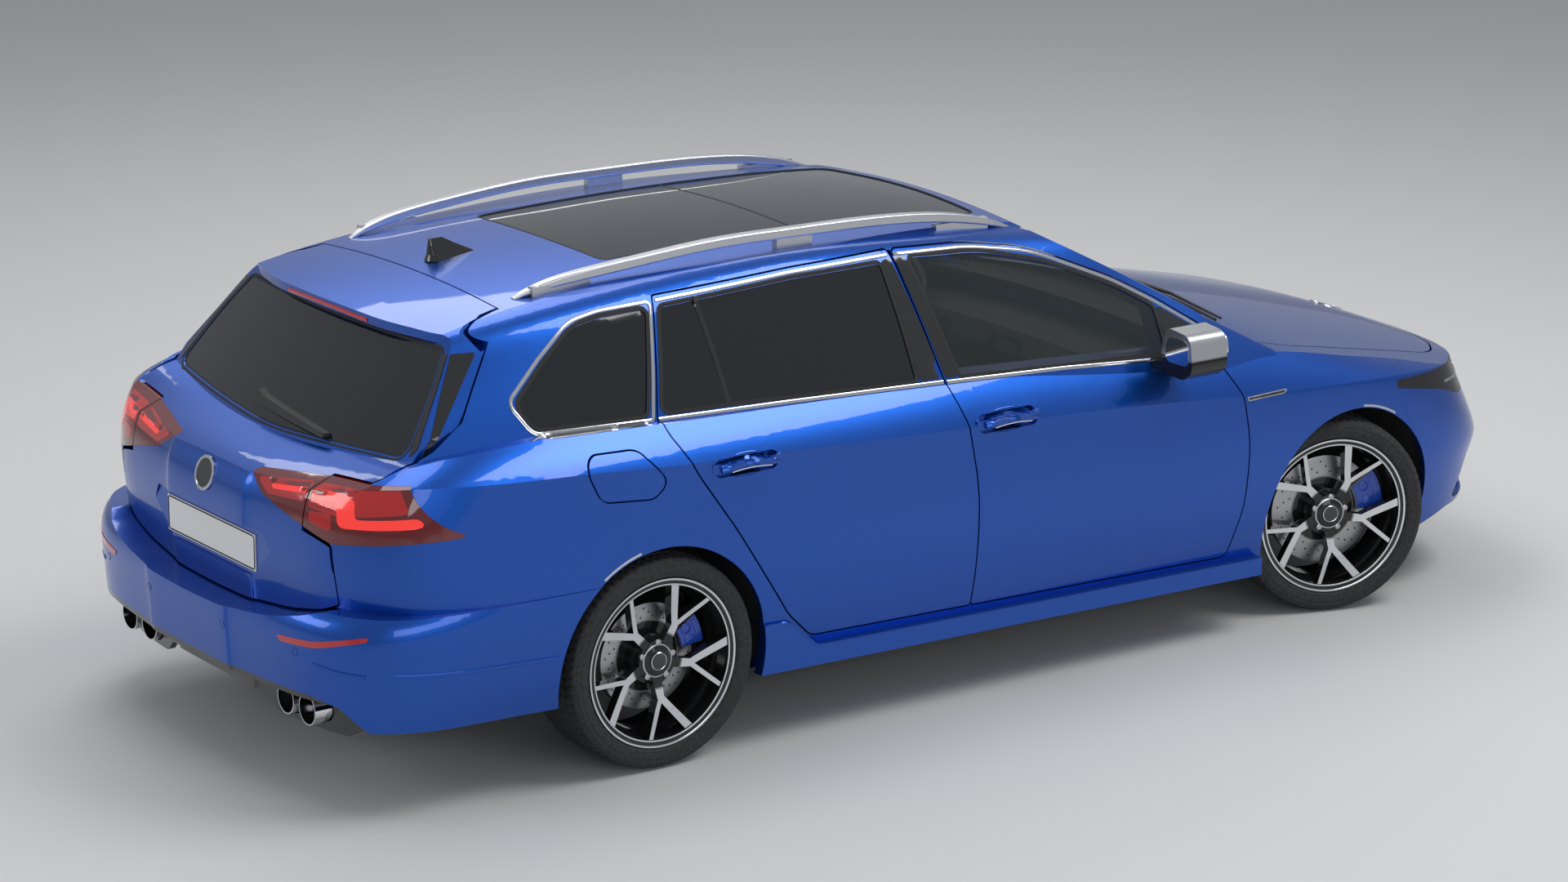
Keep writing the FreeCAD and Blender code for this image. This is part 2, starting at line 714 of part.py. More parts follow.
def make_side_frames():
    """Sill, pillars, roof rail and rear quarter, with the door openings through them."""
    skin = BODY.layer(RIGHT_HALF, 0.0, PANEL)
    frame_part = box((px(-2300), px(FRAME_FRONT_X)), (-1200, 0), (0, 1600))
    frame = BODY.layer(frame_part, PANEL, FRAME_DEPTH)
    front_door = side_prism(FRONT_DOOR, SHUT_GAP / 2)
    rear_door = side_prism(REAR_DOOR, SHUT_GAP / 2)
    shared = [rear_door, GATE_CUT, GROUND, SCREEN_CUT, side_prism(QUARTER_WINDOW, SEAM),
                      side_prism(REAR_BUMPER_SIDE, SEAM), TAIL_LAMP_CUT]
    outer = skin.cut(shared + [front_door, side_prism(POST_TOP), side_prism(FENDER_SIDE, SEAM),
                               side_prism(FRONT_BUMPER_SIDE, SEAM),
                               plan_prism(ROOF_PLAN, SEAM, 1000, 1600),
                               plan_prism(COWL_PLAN, SEAM, 500, 960)]
                     + arches(ARCH_RADIUS, 500, 500))
    roof_cut = box((px(-1800), px(700)), (-FRAME_ROOF_Y, 10), (1250, 1600))
    inner = frame.cut(shared + [roof_cut, front_door.cut(front_hinges())]
                      + arches(HOUSING_RADIUS + SEAM, 300, 300))
    whole = biggest(outer.fuse([inner, make_post()]), 1)
    keep("side_frame_left", mirrored(whole))
    pocket = side_prism(FUEL_FLAP, SHUT_GAP / 2).common(skin)
    middle = Vector(px(FILLER_AT[0]), -HALF_WIDTH, pz(FILLER_AT[1]))
    neck = Part.makeCylinder(FILLER_RADIUS, 2 * FRAME_DEPTH, middle, Vector(0, 1, 0))
    cap = Part.makeCylinder(FILLER_RADIUS - 12, 30, middle + Vector(0, FRAME_DEPTH - 6, 0),
                            Vector(0, 1, 0))
    collar = Part.makeCylinder(FILLER_RADIUS + 10, 40, middle + Vector(0, FRAME_DEPTH, 0),
                               Vector(0, 1, 0))
    pad = Part.makeCylinder(PAD_RADIUS, FRAME_DEPTH, Vector(px(PAD_AT[0]), -HALF_WIDTH,
                                                            pz(PAD_AT[1])), Vector(0, 1, 0))
    flap = make_flap()
    lifted = flap.copy()
    lifted.translate(Vector(0, REST_GAP, 0))
    pad = pad.common(BODY.low(0.0)).cut([flap, lifted, BODY.low(FRAME_DEPTH)])
    right = whole.cut([pocket, neck]).fuse([collar.cut(cap), cap, biggest(pad, 1)])
    keep("side_frame_right", biggest(right, 1))
    keep("fuel_flap", flap)


def biggest(shape, count):
    ranked = sorted(shape.Solids, key=lambda s: -abs(s.Volume))
    return Part.Compound(ranked[:count]) if count > 1 else ranked[0]


B_POST_LINE = ((-96, 200), (-92, 671), (-128, 866), (-155, 983), (-238, 1390))
POST_TOP = ((-252, 1340), (-214, 1340), (-222, 1368), (-244, 1368))
B_POST_HALF = 30.0
B_POST_DEPTH = 30.0
B_POST_CLEAR = 16.0
DOOR_INSET = 13.0
SWING_ROOM = 26.0
FLANGE_WIDTH = 10.0
FLANGE_THICK = 10.0


def post_outline(half):
    front = [(x + half, z) for x, z in B_POST_LINE]
    rear = [(x - half, z) for x, z in reversed(B_POST_LINE)]
    return front + rear


def make_post():
    """Centre post between the doors, behind their edges."""
    strip = side_prism(post_outline(B_POST_HALF)).common(DOOR_SPACE).cut(GROUND)
    behind = [(x - B_POST_HALF - B_POST_CLEAR + REST_GAP, z) for x, z in reversed(B_POST_LINE)]
    reach = side_prism(list(B_POST_LINE) + behind)
    bands = hinge_bands()
    return BODY.layer(strip.fuse([reach.common(band) for band in bands]), B_POST_DEPTH, FRAME_DEPTH)


FRONT_HANDLE = (22.0, 862.0)
REAR_HANDLE = (-948.0, 882.0)
DISH_LENGTH = 230.0
DISH_HEIGHT = 56.0
DISH_DEPTH = 15.0
GRIP_LENGTH = 244.0
GRIP_HEIGHT = 25.0
GRIP_REACH = 17.0
GRIP_THICK = 13.0


def skin_y(x, z):
    """Where the outer skin is at this place of the side view, on the right side."""
    line = Part.makeLine(Vector(x, -1200, z), Vector(x, 0, z))
    return BODY.low(0.0).common(line).BoundBox.YMin


def door_handle(x, z):
    """Oval dish to cut into the door's skin and the bowed grip across it."""
    half, rise = DISH_LENGTH / 2, DISH_HEIGHT / 2
    oval = [(x - half, z - rise, rise), (x + half, z - rise, rise),
            (x + half, z + rise, rise), (x - half, z + rise, rise)]
    dish = side_prism(oval).cut(BODY.low(DISH_DEPTH))
    middle, level = px(x), pz(z)
    end, bend = GRIP_LENGTH / 2, GRIP_LENGTH * 0.3
    steps = ((-end, 6), (-end, -3, 6), (-bend, -GRIP_REACH, 60), (bend, -GRIP_REACH, 60),
             (end, -3, 6), (end, 6), (end - 16, 6),
             (bend, GRIP_THICK - GRIP_REACH, 60), (-bend, GRIP_THICK - GRIP_REACH, 60),
             (16 - end, 6))
    plan = [(middle + a, skin_y(middle + a, level) + out) + tuple(r) for a, out, *r in steps]
    low = level - GRIP_HEIGHT / 2 + 3
    return dish, prism(plan, "Z", low, low + GRIP_HEIGHT)


def make_doors():
    doors = (("front", FRONT_DOOR, FRONT_WINDOW, FRONT_HANDLE),
             ("rear", REAR_DOOR, REAR_WINDOW, REAR_HANDLE))
    post_gap = side_prism(post_outline(B_POST_HALF + B_POST_CLEAR))
    back_room = side_prism(((-1194 + DOOR_INSET, 1000), (-1080 + SWING_ROOM, 1400),
                            (-1400, 1400), (-1400, 1000)))
    rear_end = box((px(-1300), px(-960)), (-1200, 0), (pz(860), 1500)).common(
        BODY.low(FLANGE_THICK))
    deck_room = plan_prism(COWL_PLAN, SHUT_GAP, 500, 945)
    skin = BODY.layer(DOOR_SPACE, 0.0, PANEL)
    frame = BODY.layer(DOOR_SPACE, PANEL, FRAME_DEPTH)
    for place_name, outline, window, handle in doors:
        outer = skin.common(side_prism(outline, -SHUT_GAP / 2))
        inner = frame.common(side_prism(outline, -DOOR_INSET)).cut([post_gap, back_room])
        dish, grip = door_handle(*handle)
        edge = side_prism(outline, 0).cut(side_prism(outline, -FLANGE_WIDTH)).common(rear_end)
        door = outer.fuse(inner).cut([side_prism(window, 0), dish, deck_room, edge]
                                     + arches(ARCH_RADIUS + SHUT_GAP, 300, 300)).fuse(grip)
        pane = BODY.pane(side_prism(window, -SEAM))
        for name, side in SIDES:
            keep("door_%s_%s" % (place_name, name), for_side(biggest(door, 1), side))
            keep("glass_%s_%s" % (place_name, name), for_side(biggest(pane, 1), side))


def make_fenders():
    region = side_prism(FENDER_SIDE, 0)
    skin = BODY.layer(region, 0.0, PANEL)
    fender = skin.cut([side_prism(FRONT_BUMPER_SIDE, SEAM), HEADLAMP_CUT, GROUND, SCREEN_CUT,
                       plan_prism(BONNET_PLAN, SHUT_GAP / 2, 500, 1300),
                       plan_prism(COWL_PLAN, SEAM, 500, 1300),
                       side_prism(FRONT_DOOR, SHUT_GAP / 2),
                       box((px(1085), px(1260)), (-py(698), 10), (pz(700), pz(1100)))]
                      + arches(ARCH_RADIUS, 500, 500))
    fender = biggest(fender, 1)
    keep("fenders", fender, mirrored(fender))


BONNET_SWING_ROOM = 2.0


def make_bonnet():
    region = plan_prism(BONNET_PLAN, -SHUT_GAP / 2, 500, 1300)
    region.translate(Vector(-BONNET_SWING_ROOM, 0, 0))
    keep("bonnet", biggest(BODY.low(0.0).common(region).cut(BODY.low(PANEL)), 1))
    cowl = plan_prism(COWL_PLAN, 0, 500, 1300)
    panel = BODY.low(0.0).common(cowl).cut([BODY.low(PANEL), BODY.top(0.0)])
    keep("cowl_panel", biggest(panel, 1))


def make_roof():
    region = plan_prism(ROOF_PLAN, 0, 1250, 1600)
    glass = plan_prism(ROOF_GLASS_PLAN, 0, 1250, 1600)
    panel = BODY.top(0.0).common(region).cut([BODY.top(PANEL), SCREEN_CUT, glass])
    keep("roof_panel", biggest(panel, 1))
    roof_pane = BODY.pane(plan_prism(ROOF_GLASS_PLAN, -SEAM, 1250, 1600))
    quarter = biggest(BODY.pane(side_prism(QUARTER_WINDOW, -SEAM)), 1)
    keep("dark_glass", biggest(roof_pane, 1), quarter, mirrored(quarter))
    keep("windscreen", biggest(BODY.pane(SCREEN_FORM), 1))


def swing_room(profile):
    """Ring round the gate's hinge line, from widths and radii on the left side."""
    x, z = px(GATE_HINGE[0]), pz(GATE_HINGE[1])
    points = [Vector(x - r, py(y), z) for y, r in profile]
    wire = Part.makePolygon(points + points[:1])
    return Part.Face(wire).revolve(Vector(x, 0, z), Vector(0, 1, 0), 360)


def make_tailgate():
    split = box((TAIL_X - 100, 0), (-py(509), 0), (0, 1500))
    lamp_room = end_prism([(-a[0],) + a[1:] for a in TAIL_LAMP], SHUT_GAP, TAIL_X - 100, LAMP_X)
    lamp_room = lamp_room.cut(box((TAIL_X - 100, 0), (-py(504), 0), (0, 1500))).fuse(TAIL_LAMP_CUT)
    lamps = [lamp_room, mirrored(lamp_room)]
    window = end_prism(BACK_WINDOW, 0, TAIL_X - 100, px(-1500))
    shell = BODY.all(0.0).common(GATE_FORM).cut([BODY.all(FRAME_DEPTH), window] + lamps)
    side = cabin_side(0.0)
    spoiler = roof_face(0.0).extrude(Vector(0, 0, -SPOILER_THICK))
    spoiler = spoiler.common(plan_prism(SPOILER_PLAN, 0, 1100, 1600))
    spoiler = spoiler.common(side.extrude(Vector(0, 2200, 0)))
    spoiler = spoiler.common(mirrored(side).extrude(Vector(0, -2200, 0)))
    spoiler = spoiler.cut(BODY.all(0.0))
    low = box((TAIL_X - 100, 0), (-1000, 1000), (0, pz(835)))
    high = box((TAIL_X - 100, 0), (-1000, 1000), (pz(972), 1600))
    room = [swing_room(GATE_SWING_TOP), swing_room(GATE_SWING_SIDE).common(high),
            swing_room(GATE_SWING_LOW).common(low)]
    room += [mirrored(r) for r in room]
    keep("tailgate", biggest(shell.cut(room).fuse(spoiler), 1))
    pane = BODY.pane(end_prism(BACK_WINDOW, -SEAM, TAIL_X - 100, px(-1500)))
    keep("tailgate_glass", biggest(pane, 1))
    lamp = BODY.low(0.0).common(TAIL_LAMP_FORM).cut(BODY.low(LAMP_DEPTH))
    gate_lamp = biggest(lamp.common(box((TAIL_X - 100, 0), (-py(504), 0), (0, 1500))), 1)
    body_lamp = biggest(lamp.cut(split), 1)
    keep("gate_lamps", gate_lamp, mirrored(gate_lamp))
    keep("tail_lamps", body_lamp, mirrored(body_lamp))


SPOILER_THICK = 26.0
LAMP_DEPTH = 60.0


def below_top(drop):
    """Everything under the rear bumper's curved top edge, lowered by this much."""
    line = [(y, z - drop) + tuple(r) for y, z, *r in BUMPER_TOP]
    outline = [(-1200, 0), (-1200, 597 - drop)] + line + [(1200, 597 - drop), (1200, 0)]
    return end_prism(outline, 0, TAIL_X - 50, px(-1400))


def make_bumpers():
    region = side_prism(REAR_BUMPER_SIDE, 0).common(below_top(0))
    inner = bumper_solid(PANEL)
    skin = bumper_solid(0.0).common(region).cut([inner, GROUND] + arches(ARCH_RADIUS, 500, 500))
    ledge = below_top(0).cut(below_top(PANEL)).common(RIGHT_HALF)
    shelf = inner.common(ledge).cut([BODY.low(FRAME_DEPTH)]
                                    + arches(HOUSING_RADIUS + SEAM, 500, 500))
    rear = biggest(skin.fuse(shelf), 1)
    rear = rear.fuse(mirrored(rear)).removeSplitter()
    keep("rear_bumper", rear.cut(end_prism(DIFFUSER, SEAM, TAIL_X - 50, px(-2000))))
    region = side_prism(FRONT_BUMPER_SIDE, 0)
    skin = BODY.layer(region, 0.0, PANEL)
    intakes = [end_prism(GRILLE_BAND, SEAM, px(1600), NOSE_X + 100),
               end_prism(LOWER_INTAKE, SEAM, px(1600), NOSE_X + 100),
               end_prism([(-a[0],) + a[1:] for a in SIDE_INTAKE], SEAM, px(1600), NOSE_X + 100)]
    front = skin.cut([HEADLAMP_CUT, GROUND, plan_prism(BONNET_PLAN, SHUT_GAP / 2, 500, 1300)]
                     + arches(ARCH_RADIUS, 500, 500) + intakes)
    front = biggest(front, 1)
    keep("front_bumper", front.fuse(mirrored(front)).removeSplitter())
    lamp = BODY.low(0.0).common(HEADLAMP_FORM).cut(
        [BODY.low(LAMP_DEPTH), plan_prism(BONNET_PLAN, SHUT_GAP / 2, 500, 1300)])
    lamp = biggest(lamp, 1)
    keep("headlamps", lamp, mirrored(lamp))
    inserts = []
    side_intake = [(-a[0],) + a[1:] for a in SIDE_INTAKE]
    for outline in (GRILLE_BAND, LOWER_INTAKE, side_intake):
        region = end_prism(outline, 0, px(1880), NOSE_X + 100)
        insert = BODY.low(GRILLE_DEPTH).common(region).cut(BODY.low(LAMP_DEPTH))
        slots = [box((px(1600), NOSE_X + 100), (-1000, 1000), (z, z + SLOT_HEIGHT))
                 for z in range(SLOT_LOWEST, SLOT_HIGHEST, SLOT_STEP)]
        slots = slots[0].fuse(slots[1:]).cut(BODY.low(GRILLE_DEPTH + SLOT_DEPTH))
        sides = end_prism(outline, -SLOT_EDGE, px(1600), NOSE_X + 100)
        inserts.append(insert.cut(slots.common(sides)))
    inserts.append(mirrored(inserts[2]))
    keep("front_grille", *[biggest(i, 1) for i in inserts])


GRILLE_DEPTH = 14.0
SLOT_LOWEST = 250
SLOT_HIGHEST = 720
SLOT_STEP = 30
SLOT_HEIGHT = 18
SLOT_DEPTH = 24.0
SLOT_EDGE = 8.0


# Floor, firewall and load floor
STRUT_RADIUS = 25.0
STRUT_TOP = 795.0
SPRING_FOOT = 656.0
STRUT_FOOT = 470.0
SPRING_SEAT_RADIUS = 62.0
SPRING_RADIUS = 50.0
TOWER_REACH = 90.0
TOWER_THICK = 12.0
REST_GAP = 0.3
TUNNEL_HALF = 130.0
TUNNEL_TOP = 335.0
SHEET = 24.0


def make_floor():
    inside = BODY.low(FRAME_DEPTH)
    bulkhead_x = px(-985)
    floor = box((bulkhead_x, px(1000)), (-1000, 1000), (FLOOR_Z, FLOOR_Z + FLOOR_THICK))
    rise = box((bulkhead_x, bulkhead_x + SHEET), (-1000, 1000), (FLOOR_Z, BOOT_FLOOR_Z))
    tunnel = box((bulkhead_x, px(1000)), (-TUNNEL_HALF, TUNNEL_HALF), (FLOOR_Z, TUNNEL_TOP))
    firewall = box((px(1000) - SHEET, px(1000)), (-1000, 1000), (FLOOR_Z, pz(868)))
    boot = box((px(-2056), bulkhead_x + SHEET), (-1000, 1000), (BOOT_FLOOR_Z - SHEET, BOOT_FLOOR_Z))
    back = box((px(-2056), px(-2056) + SHEET), (-py(700), py(700)), (345, BOOT_FLOOR_Z))
    sill = box((px(-2250), px(-2056) + SHEET), (-py(600), py(600)), (BOOT_FLOOR_Z - SHEET, pz(590)))
    hollow = box((bulkhead_x - 10, px(1000) + 10), (SHEET - TUNNEL_HALF, TUNNEL_HALF - SHEET),
                 (FLOOR_Z - 10, TUNNEL_TOP - SHEET))
    gate_room = end_prism(GATE_REAR, SHUT_GAP + 1, TAIL_X - 100, px(-2000))
    sill = sill.cut(gate_room.cut(BODY.low(FRAME_DEPTH + SHUT_GAP + 2)))
    whole = floor.fuse([rise, tunnel, firewall, boot, back, sill]).cut(hollow)
    housings = arches(HOUSING_RADIUS + SEAM, FRONT_HOUSING_Y - SEAM, REAR_HOUSING_Y - SEAM)
    housings += [mirrored(h) for h in housings]
    door_room = side_prism(FRONT_DOOR, SHUT_GAP / 2).cut(BODY.low(FRAME_DEPTH + SHUT_GAP))
    whole = whole.common(inside).cut(housings + [door_room, mirrored(door_room)])
    towers = [box((px(1000) - 1, FRONT_AXLE_X + TOWER_REACH),
                  (min(side * 500, side * 672), max(side * 500, side * 672)),
                  (STRUT_TOP, STRUT_TOP + TOWER_THICK)) for side in (RIGHT, LEFT)]
    keep("floor_pan", biggest(whole.fuse(towers), 1))


LINER = 6.0
LINER_FOOT = 252.0
AXLE_WINDOW_Z = 470.0


def make_liners():
    inside = BODY.low(PANEL)
    liners = []
    for axle_x, inner_y in ((FRONT_AXLE_X, FRONT_HOUSING_Y), (REAR_AXLE_X, REAR_HOUSING_Y)):
        outer = wheel_cylinder(axle_x, HOUSING_RADIUS, -1000, -inner_y)
        hollow = wheel_cylinder(axle_x, HOUSING_RADIUS - LINER, -1010, -inner_y - LINER)
        liner = outer.cut(hollow).common(inside)
        liner = liner.cut([box((-2600, 2600), (-1200, 0), (-50, LINER_FOOT)),
                           box((-2600, 0), (-REAR_HOUSING_Y - LINER, 0), (0, AXLE_WINDOW_Z)),
                           side_prism(REAR_BUMPER_SIDE, SEAM).cut(bumper_solid(PANEL)),
                           Part.makeCylinder(SPRING_SEAT_RADIUS + 8, 900,
                                             Vector(FRONT_AXLE_X, -STRUT_Y, 0))])
        liner = biggest(liner, 1)
        liners += [liner, mirrored(liner)]
    keep("arch_liners", *liners)


def rod(start, end, radius):
    along = Vector(*end) - Vector(*start)
    return Part.makeCylinder(radius, along.Length, Vector(*start), along)


HUB_FACE = 59.0
HUB_PLATE = 8.0
HUB_BACK = 181.0
HAT_BORE = 66.0
HAT_WALL = 10.0
KNUCKLE_FOOT = 215.0


def make_front_suspension():
    """Cross member with the lower arms, and the struts of both sides."""
    x, top = FRONT_AXLE_X, KNUCKLE_FOOT - REST_GAP
    member = box((x - 150, x + 60), (-380, 380), (160, top))
    pieces = []
    struts = []
    for side in (RIGHT, LEFT):
        end = side * (KINGPIN_Y + 22)
        pieces.append(prism([(x - 260, side * 360), (x - 150, side * 380), (x - 30, side * 560),
                             (x - 32, end, 20), (x + 32, end, 20), (x + 45, side * 560),
                             (x + 40, side * 360)], "Z", 178, top))
        pieces.append(prism([(px(1000) + REST_GAP, side * 230), (px(1000) + REST_GAP, side * 330),
                             (x - 149, side * 380), (x - 149, side * 280)], "Z", FLOOR_Z, top))
        strut = Part.makeCylinder(STRUT_RADIUS, STRUT_TOP - STRUT_FOOT - 2 * REST_GAP,
                                  Vector(x, side * STRUT_Y, STRUT_FOOT + REST_GAP))
        seat = Part.makeCylinder(SPRING_SEAT_RADIUS, 14, Vector(x, side * STRUT_Y, SPRING_FOOT))
        spring = Part.makeCylinder(SPRING_RADIUS, STRUT_TOP - SPRING_FOOT - 10 - REST_GAP,
                                   Vector(x, side * STRUT_Y, SPRING_FOOT + 10))
        struts.append(strut.fuse([seat, spring]))
    keep("front_subframe", member.fuse(pieces), *struts)


def wheel_hub(axle_x):
    """Flange that the wheel sits on, and the bearing behind it."""
    seat_y = -WHEEL_FACE_Y + HUB_FACE + HUB_PLATE + REST_GAP
    z = TYRE_RADIUS
    flange = rod((axle_x, seat_y, z), (axle_x, seat_y + 12, z), HAT_BORE - 5)
    return flange.fuse(rod((axle_x, seat_y, z), (axle_x, -WHEEL_FACE_Y + HUB_BACK, z), 46))


def make_knuckle():
    """Right upright with its hub, clamp for the strut and brake caliper, wheel straight ahead."""
    x, z = FRONT_AXLE_X, TYRE_RADIUS
    hub = wheel_hub(x)
    upright = prism([(x - 38, KNUCKLE_FOOT, 10), (x + 38, KNUCKLE_FOOT, 10), (x + 56, z, 40),
                     (x + 30, STRUT_FOOT, 10), (x - 30, STRUT_FOOT, 10), (x - 56, z, 40)], "Y",
                    -KINGPIN_Y - 16, -KINGPIN_Y + 20)
    clamp = box((x - 30, x + 30), (-KINGPIN_Y, -STRUT_Y + STRUT_RADIUS), (430, STRUT_FOOT))
    arm = box((x - 150, x - 30), (-KINGPIN_Y - 8, -KINGPIN_Y + 20), (z - 75, z - 45))
    caliper = brake_caliper(x, CALIPER_FRONT)
    bridge = box((x + 30, x + 150), (-KINGPIN_Y - 42, -KINGPIN_Y - 4), (z - 20, z + 50))
    return hub.fuse([upright, clamp, arm, caliper, bridge])


# Brakes: disc radius, caliper's radial reach, its angle ahead of the hub and its span
CALIPER_FRONT = (178.0, 112.0, 204.0, 17.0, 40.0)
CALIPER_REAR = (160.0, 108.0, 186.0, 20.0, 30.0)
DISC_OUTER_Y = 88.0
DISC_THICK = 28.0
DISC_CLEAR = 5.0


def brake_caliper(axle_x, data):
    disc, low, high, middle, span = data
    centre = Vector(axle_x, -WHEEL_FACE_Y + 70, TYRE_RADIUS)
    block = Part.makeCylinder(high, DISC_OUTER_Y + DISC_THICK + 22 - 70, centre, Vector(0, 1, 0))
    block = block.cut(Part.makeCylinder(low, 200, centre - Vector(0, 20, 0), Vector(0, 1, 0)))
    a, b = math.radians(middle - span / 2), math.radians(middle + span / 2)
    reach = 400.0
    wedge = [(axle_x, TYRE_RADIUS), (axle_x + reach * math.cos(a), TYRE_RADIUS + reach * math.sin(a)),
             (axle_x + reach * math.cos(b), TYRE_RADIUS + reach * math.sin(b))]
    block = block.common(prism(wedge, "Y", -1000, -500))
    slot = Part.makeCylinder(disc + DISC_CLEAR, DISC_THICK + 2 * DISC_CLEAR,
                             Vector(axle_x, -WHEEL_FACE_Y + DISC_OUTER_Y - DISC_CLEAR, TYRE_RADIUS),
                             Vector(0, 1, 0))
    return block.cut(slot)


def make_rear_axle():
    x, z = REAR_AXLE_X, TYRE_RADIUS
    beam = box((x - 70, x + 70), (-470, 470), (300, 390))
    front_end = px(-985) - REST_GAP
    pieces = []
    for side in (RIGHT, LEFT):
        inner, outer = side * 440, side * (KINGPIN_Y - 20)
        pieces.append(box((x - 60, x + 60), (min(inner, outer), max(inner, outer)), (305, 345)))
        pieces.append(prism([(x, side * 560), (front_end, side * 505), (front_end, side * 545),
                             (x, side * (KINGPIN_Y - 22))], "Z", 262, 306))
    carrier = prism([(x - 60, z - 60, 20), (x + 60, z - 60, 20), (x + 130, z + 20, 20),
                     (x + 60, z + 80, 20), (x - 60, z + 60, 20)], "Y", -KINGPIN_Y - 14, -KINGPIN_Y + 30)
    bridge = box((x + 90, x + 140), (-KINGPIN_Y - 42, -KINGPIN_Y - 10), (z, z + 60))
    corner = carrier.fuse([wheel_hub(x), brake_caliper(x, CALIPER_REAR), bridge])
    whole = beam.fuse(pieces + [corner, mirrored(corner)])
    keep("rear_axle", biggest(whole, 1))


# Wheels, drawn for the right side round the origin with the outer face towards -Y
SPOKE_PAIRS = 5


def revolved(points):
    """Ring from a half section of radius and depth behind the outer face."""
    wire = rounded_wire(points, "X", 0)
    placed = Part.Face(wire)
    turned = placed.copy()
    return turned.revolve(Vector(0, 0, 0), Vector(0, 1, 0), 360)


def ring_of(points):
    """Section points are radius, depth; the ring's axis is Y."""
    section = [(depth, radius) + tuple(rest) for radius, depth, *rest in points]
    return revolved(section)


def polar(radius, degrees):
    return (radius * math.cos(math.radians(degrees)), radius * math.sin(math.radians(degrees)))


def bar(start, end, wide_start, wide_end, low, high):
    """Straight spoke between two points of the wheel's face, tapering."""
    ax, az = start
    bx, bz = end
    length = math.hypot(bx - ax, bz - az)
    nx, nz = -(bz - az) / length, (bx - ax) / length
    points = [(ax + nx * wide_start / 2, az + nz * wide_start / 2),
              (bx + nx * wide_end / 2, bz + nz * wide_end / 2),
              (bx - nx * wide_end / 2, bz - nz * wide_end / 2),
              (ax - nx * wide_start / 2, az - nz * wide_start / 2)]
    return prism(points, "Y", low, high)


def make_rim(disc_radius):
    depth = RIM_WIDTH
    seat = RIM_RADIUS - 16
    wall = 8.0
    barrel = ring_of([(seat - wall, 4, 2), (RIM_RADIUS, 0, 4), (RIM_RADIUS, 10, 3), (seat, 14),
                      (seat, 60), (RIM_BARREL, 90), (RIM_BARREL, 150), (seat, 180),
                      (seat, depth - 14), (RIM_RADIUS, depth - 10, 3), (RIM_RADIUS, depth, 3),
                      (seat - wall, depth, 2), (seat - wall, 182), (RIM_BARREL - wall, 152),
                      (RIM_BARREL - wall, 88), (seat - wall, 56)])
    form = ring_of([(0, 26), (34, 26), (60, 34, 20), (150, 24, 80), (seat - 2, 8), (seat - 2, 40),
                    (150, 58, 60), (74, HUB_FACE), (0, HUB_FACE)])
    bend_at, bend_angle = 114.0, 59.0
    spokes = [Part.makeCylinder(62, HUB_FACE + 10, Vector(0, 0, 0), Vector(0, 1, 0))]
    for k in range(SPOKE_PAIRS):
        turn = -72.0 * k
        root = polar(40, 51 + turn)
        bend = polar(bend_at, bend_angle + turn)
        wide = polar(seat - 3, 78.3 + turn)
        narrow = polar(seat - 3, 44.5 + turn)
        spokes.append(bar(root, bend, 30, 24, 0, 80))
        spokes.append(bar(bend, wide, 20, 25, 0, 80))
        spokes.append(bar(bend, narrow, 15, 13, 0, 80))
        spokes.append(Part.makeCylinder(12, 80, Vector(bend[0], 0, bend[1]), Vector(0, 1, 0)))
    star = spokes[0].fuse(spokes[1:]).common(form)
    hat_radius = HAT_BORE + HAT_WALL
    back = DISC_OUTER_Y + DISC_THICK
    brake = ring_of([(0, HUB_FACE - 1), (hat_radius, HUB_FACE - 1), (hat_radius, DISC_OUTER_Y),
                     (disc_radius, DISC_OUTER_Y), (disc_radius, back), (HAT_BORE, back),
                     (HAT_BORE, HUB_FACE + HUB_PLATE), (0, HUB_FACE + HUB_PLATE)])
    return biggest(barrel.fuse([star, brake]), 1)


def make_tyre():
    bulge = (TYRE_WIDTH - RIM_WIDTH) / 2
    depth = RIM_WIDTH
    seat = RIM_RADIUS - 16
    r = TYRE_RADIUS
    return ring_of([(seat + 0.3, 14.5), (RIM_RADIUS + 0.3, 10.4, 3), (RIM_RADIUS + 0.3, 2, 3),
                    (RIM_RADIUS + 14, -bulge + 1, 14), (r - 26, -bulge, 20), (r - 4, 8, 12),
                    (r, 34, 60), (r, depth - 34, 60), (r - 4, depth - 8, 12),
                    (r - 26, depth + bulge, 20), (RIM_RADIUS + 14, depth + bulge - 1, 14),
                    (RIM_RADIUS + 0.3, depth - 2, 3), (RIM_RADIUS + 0.3, depth - 10.4, 3),
                    (seat + 0.3, depth - 14.5)])


def make_wheels():
    rims = {"front": make_rim(CALIPER_FRONT[0]), "rear": make_rim(CALIPER_REAR[0])}
    tyre = make_tyre()
    for name, side in SIDES:
        for end, axle_x in (("front", FRONT_AXLE_X), ("rear", REAR_AXLE_X)):
            for part_name, shape in (("rim", rims[end]), ("tyre", tyre)):
                placed = shape.copy()
                placed.translate(Vector(axle_x, -WHEEL_FACE_Y, TYRE_RADIUS))
                placed = for_side(placed, side)
                if end == "front":
                    placed = steered(placed, side)
                keep("%s_%s_%s" % (part_name, end, name), placed)
        keep("knuckle_" + name, steered(for_side(biggest(make_knuckle(), 1), side), side))


def steered(shape, side):
    turned = shape.copy()
    turned.rotate(Vector(FRONT_AXLE_X, side * KINGPIN_Y, 0), Vector(0, 0, 1), STEER_REST)
    return turned


ENGINE_X = (1165.0, 1585.0)
TIP_Y = (412.0, 535.0)
TIP_Z = 283.0
TIP_X = -2226.0


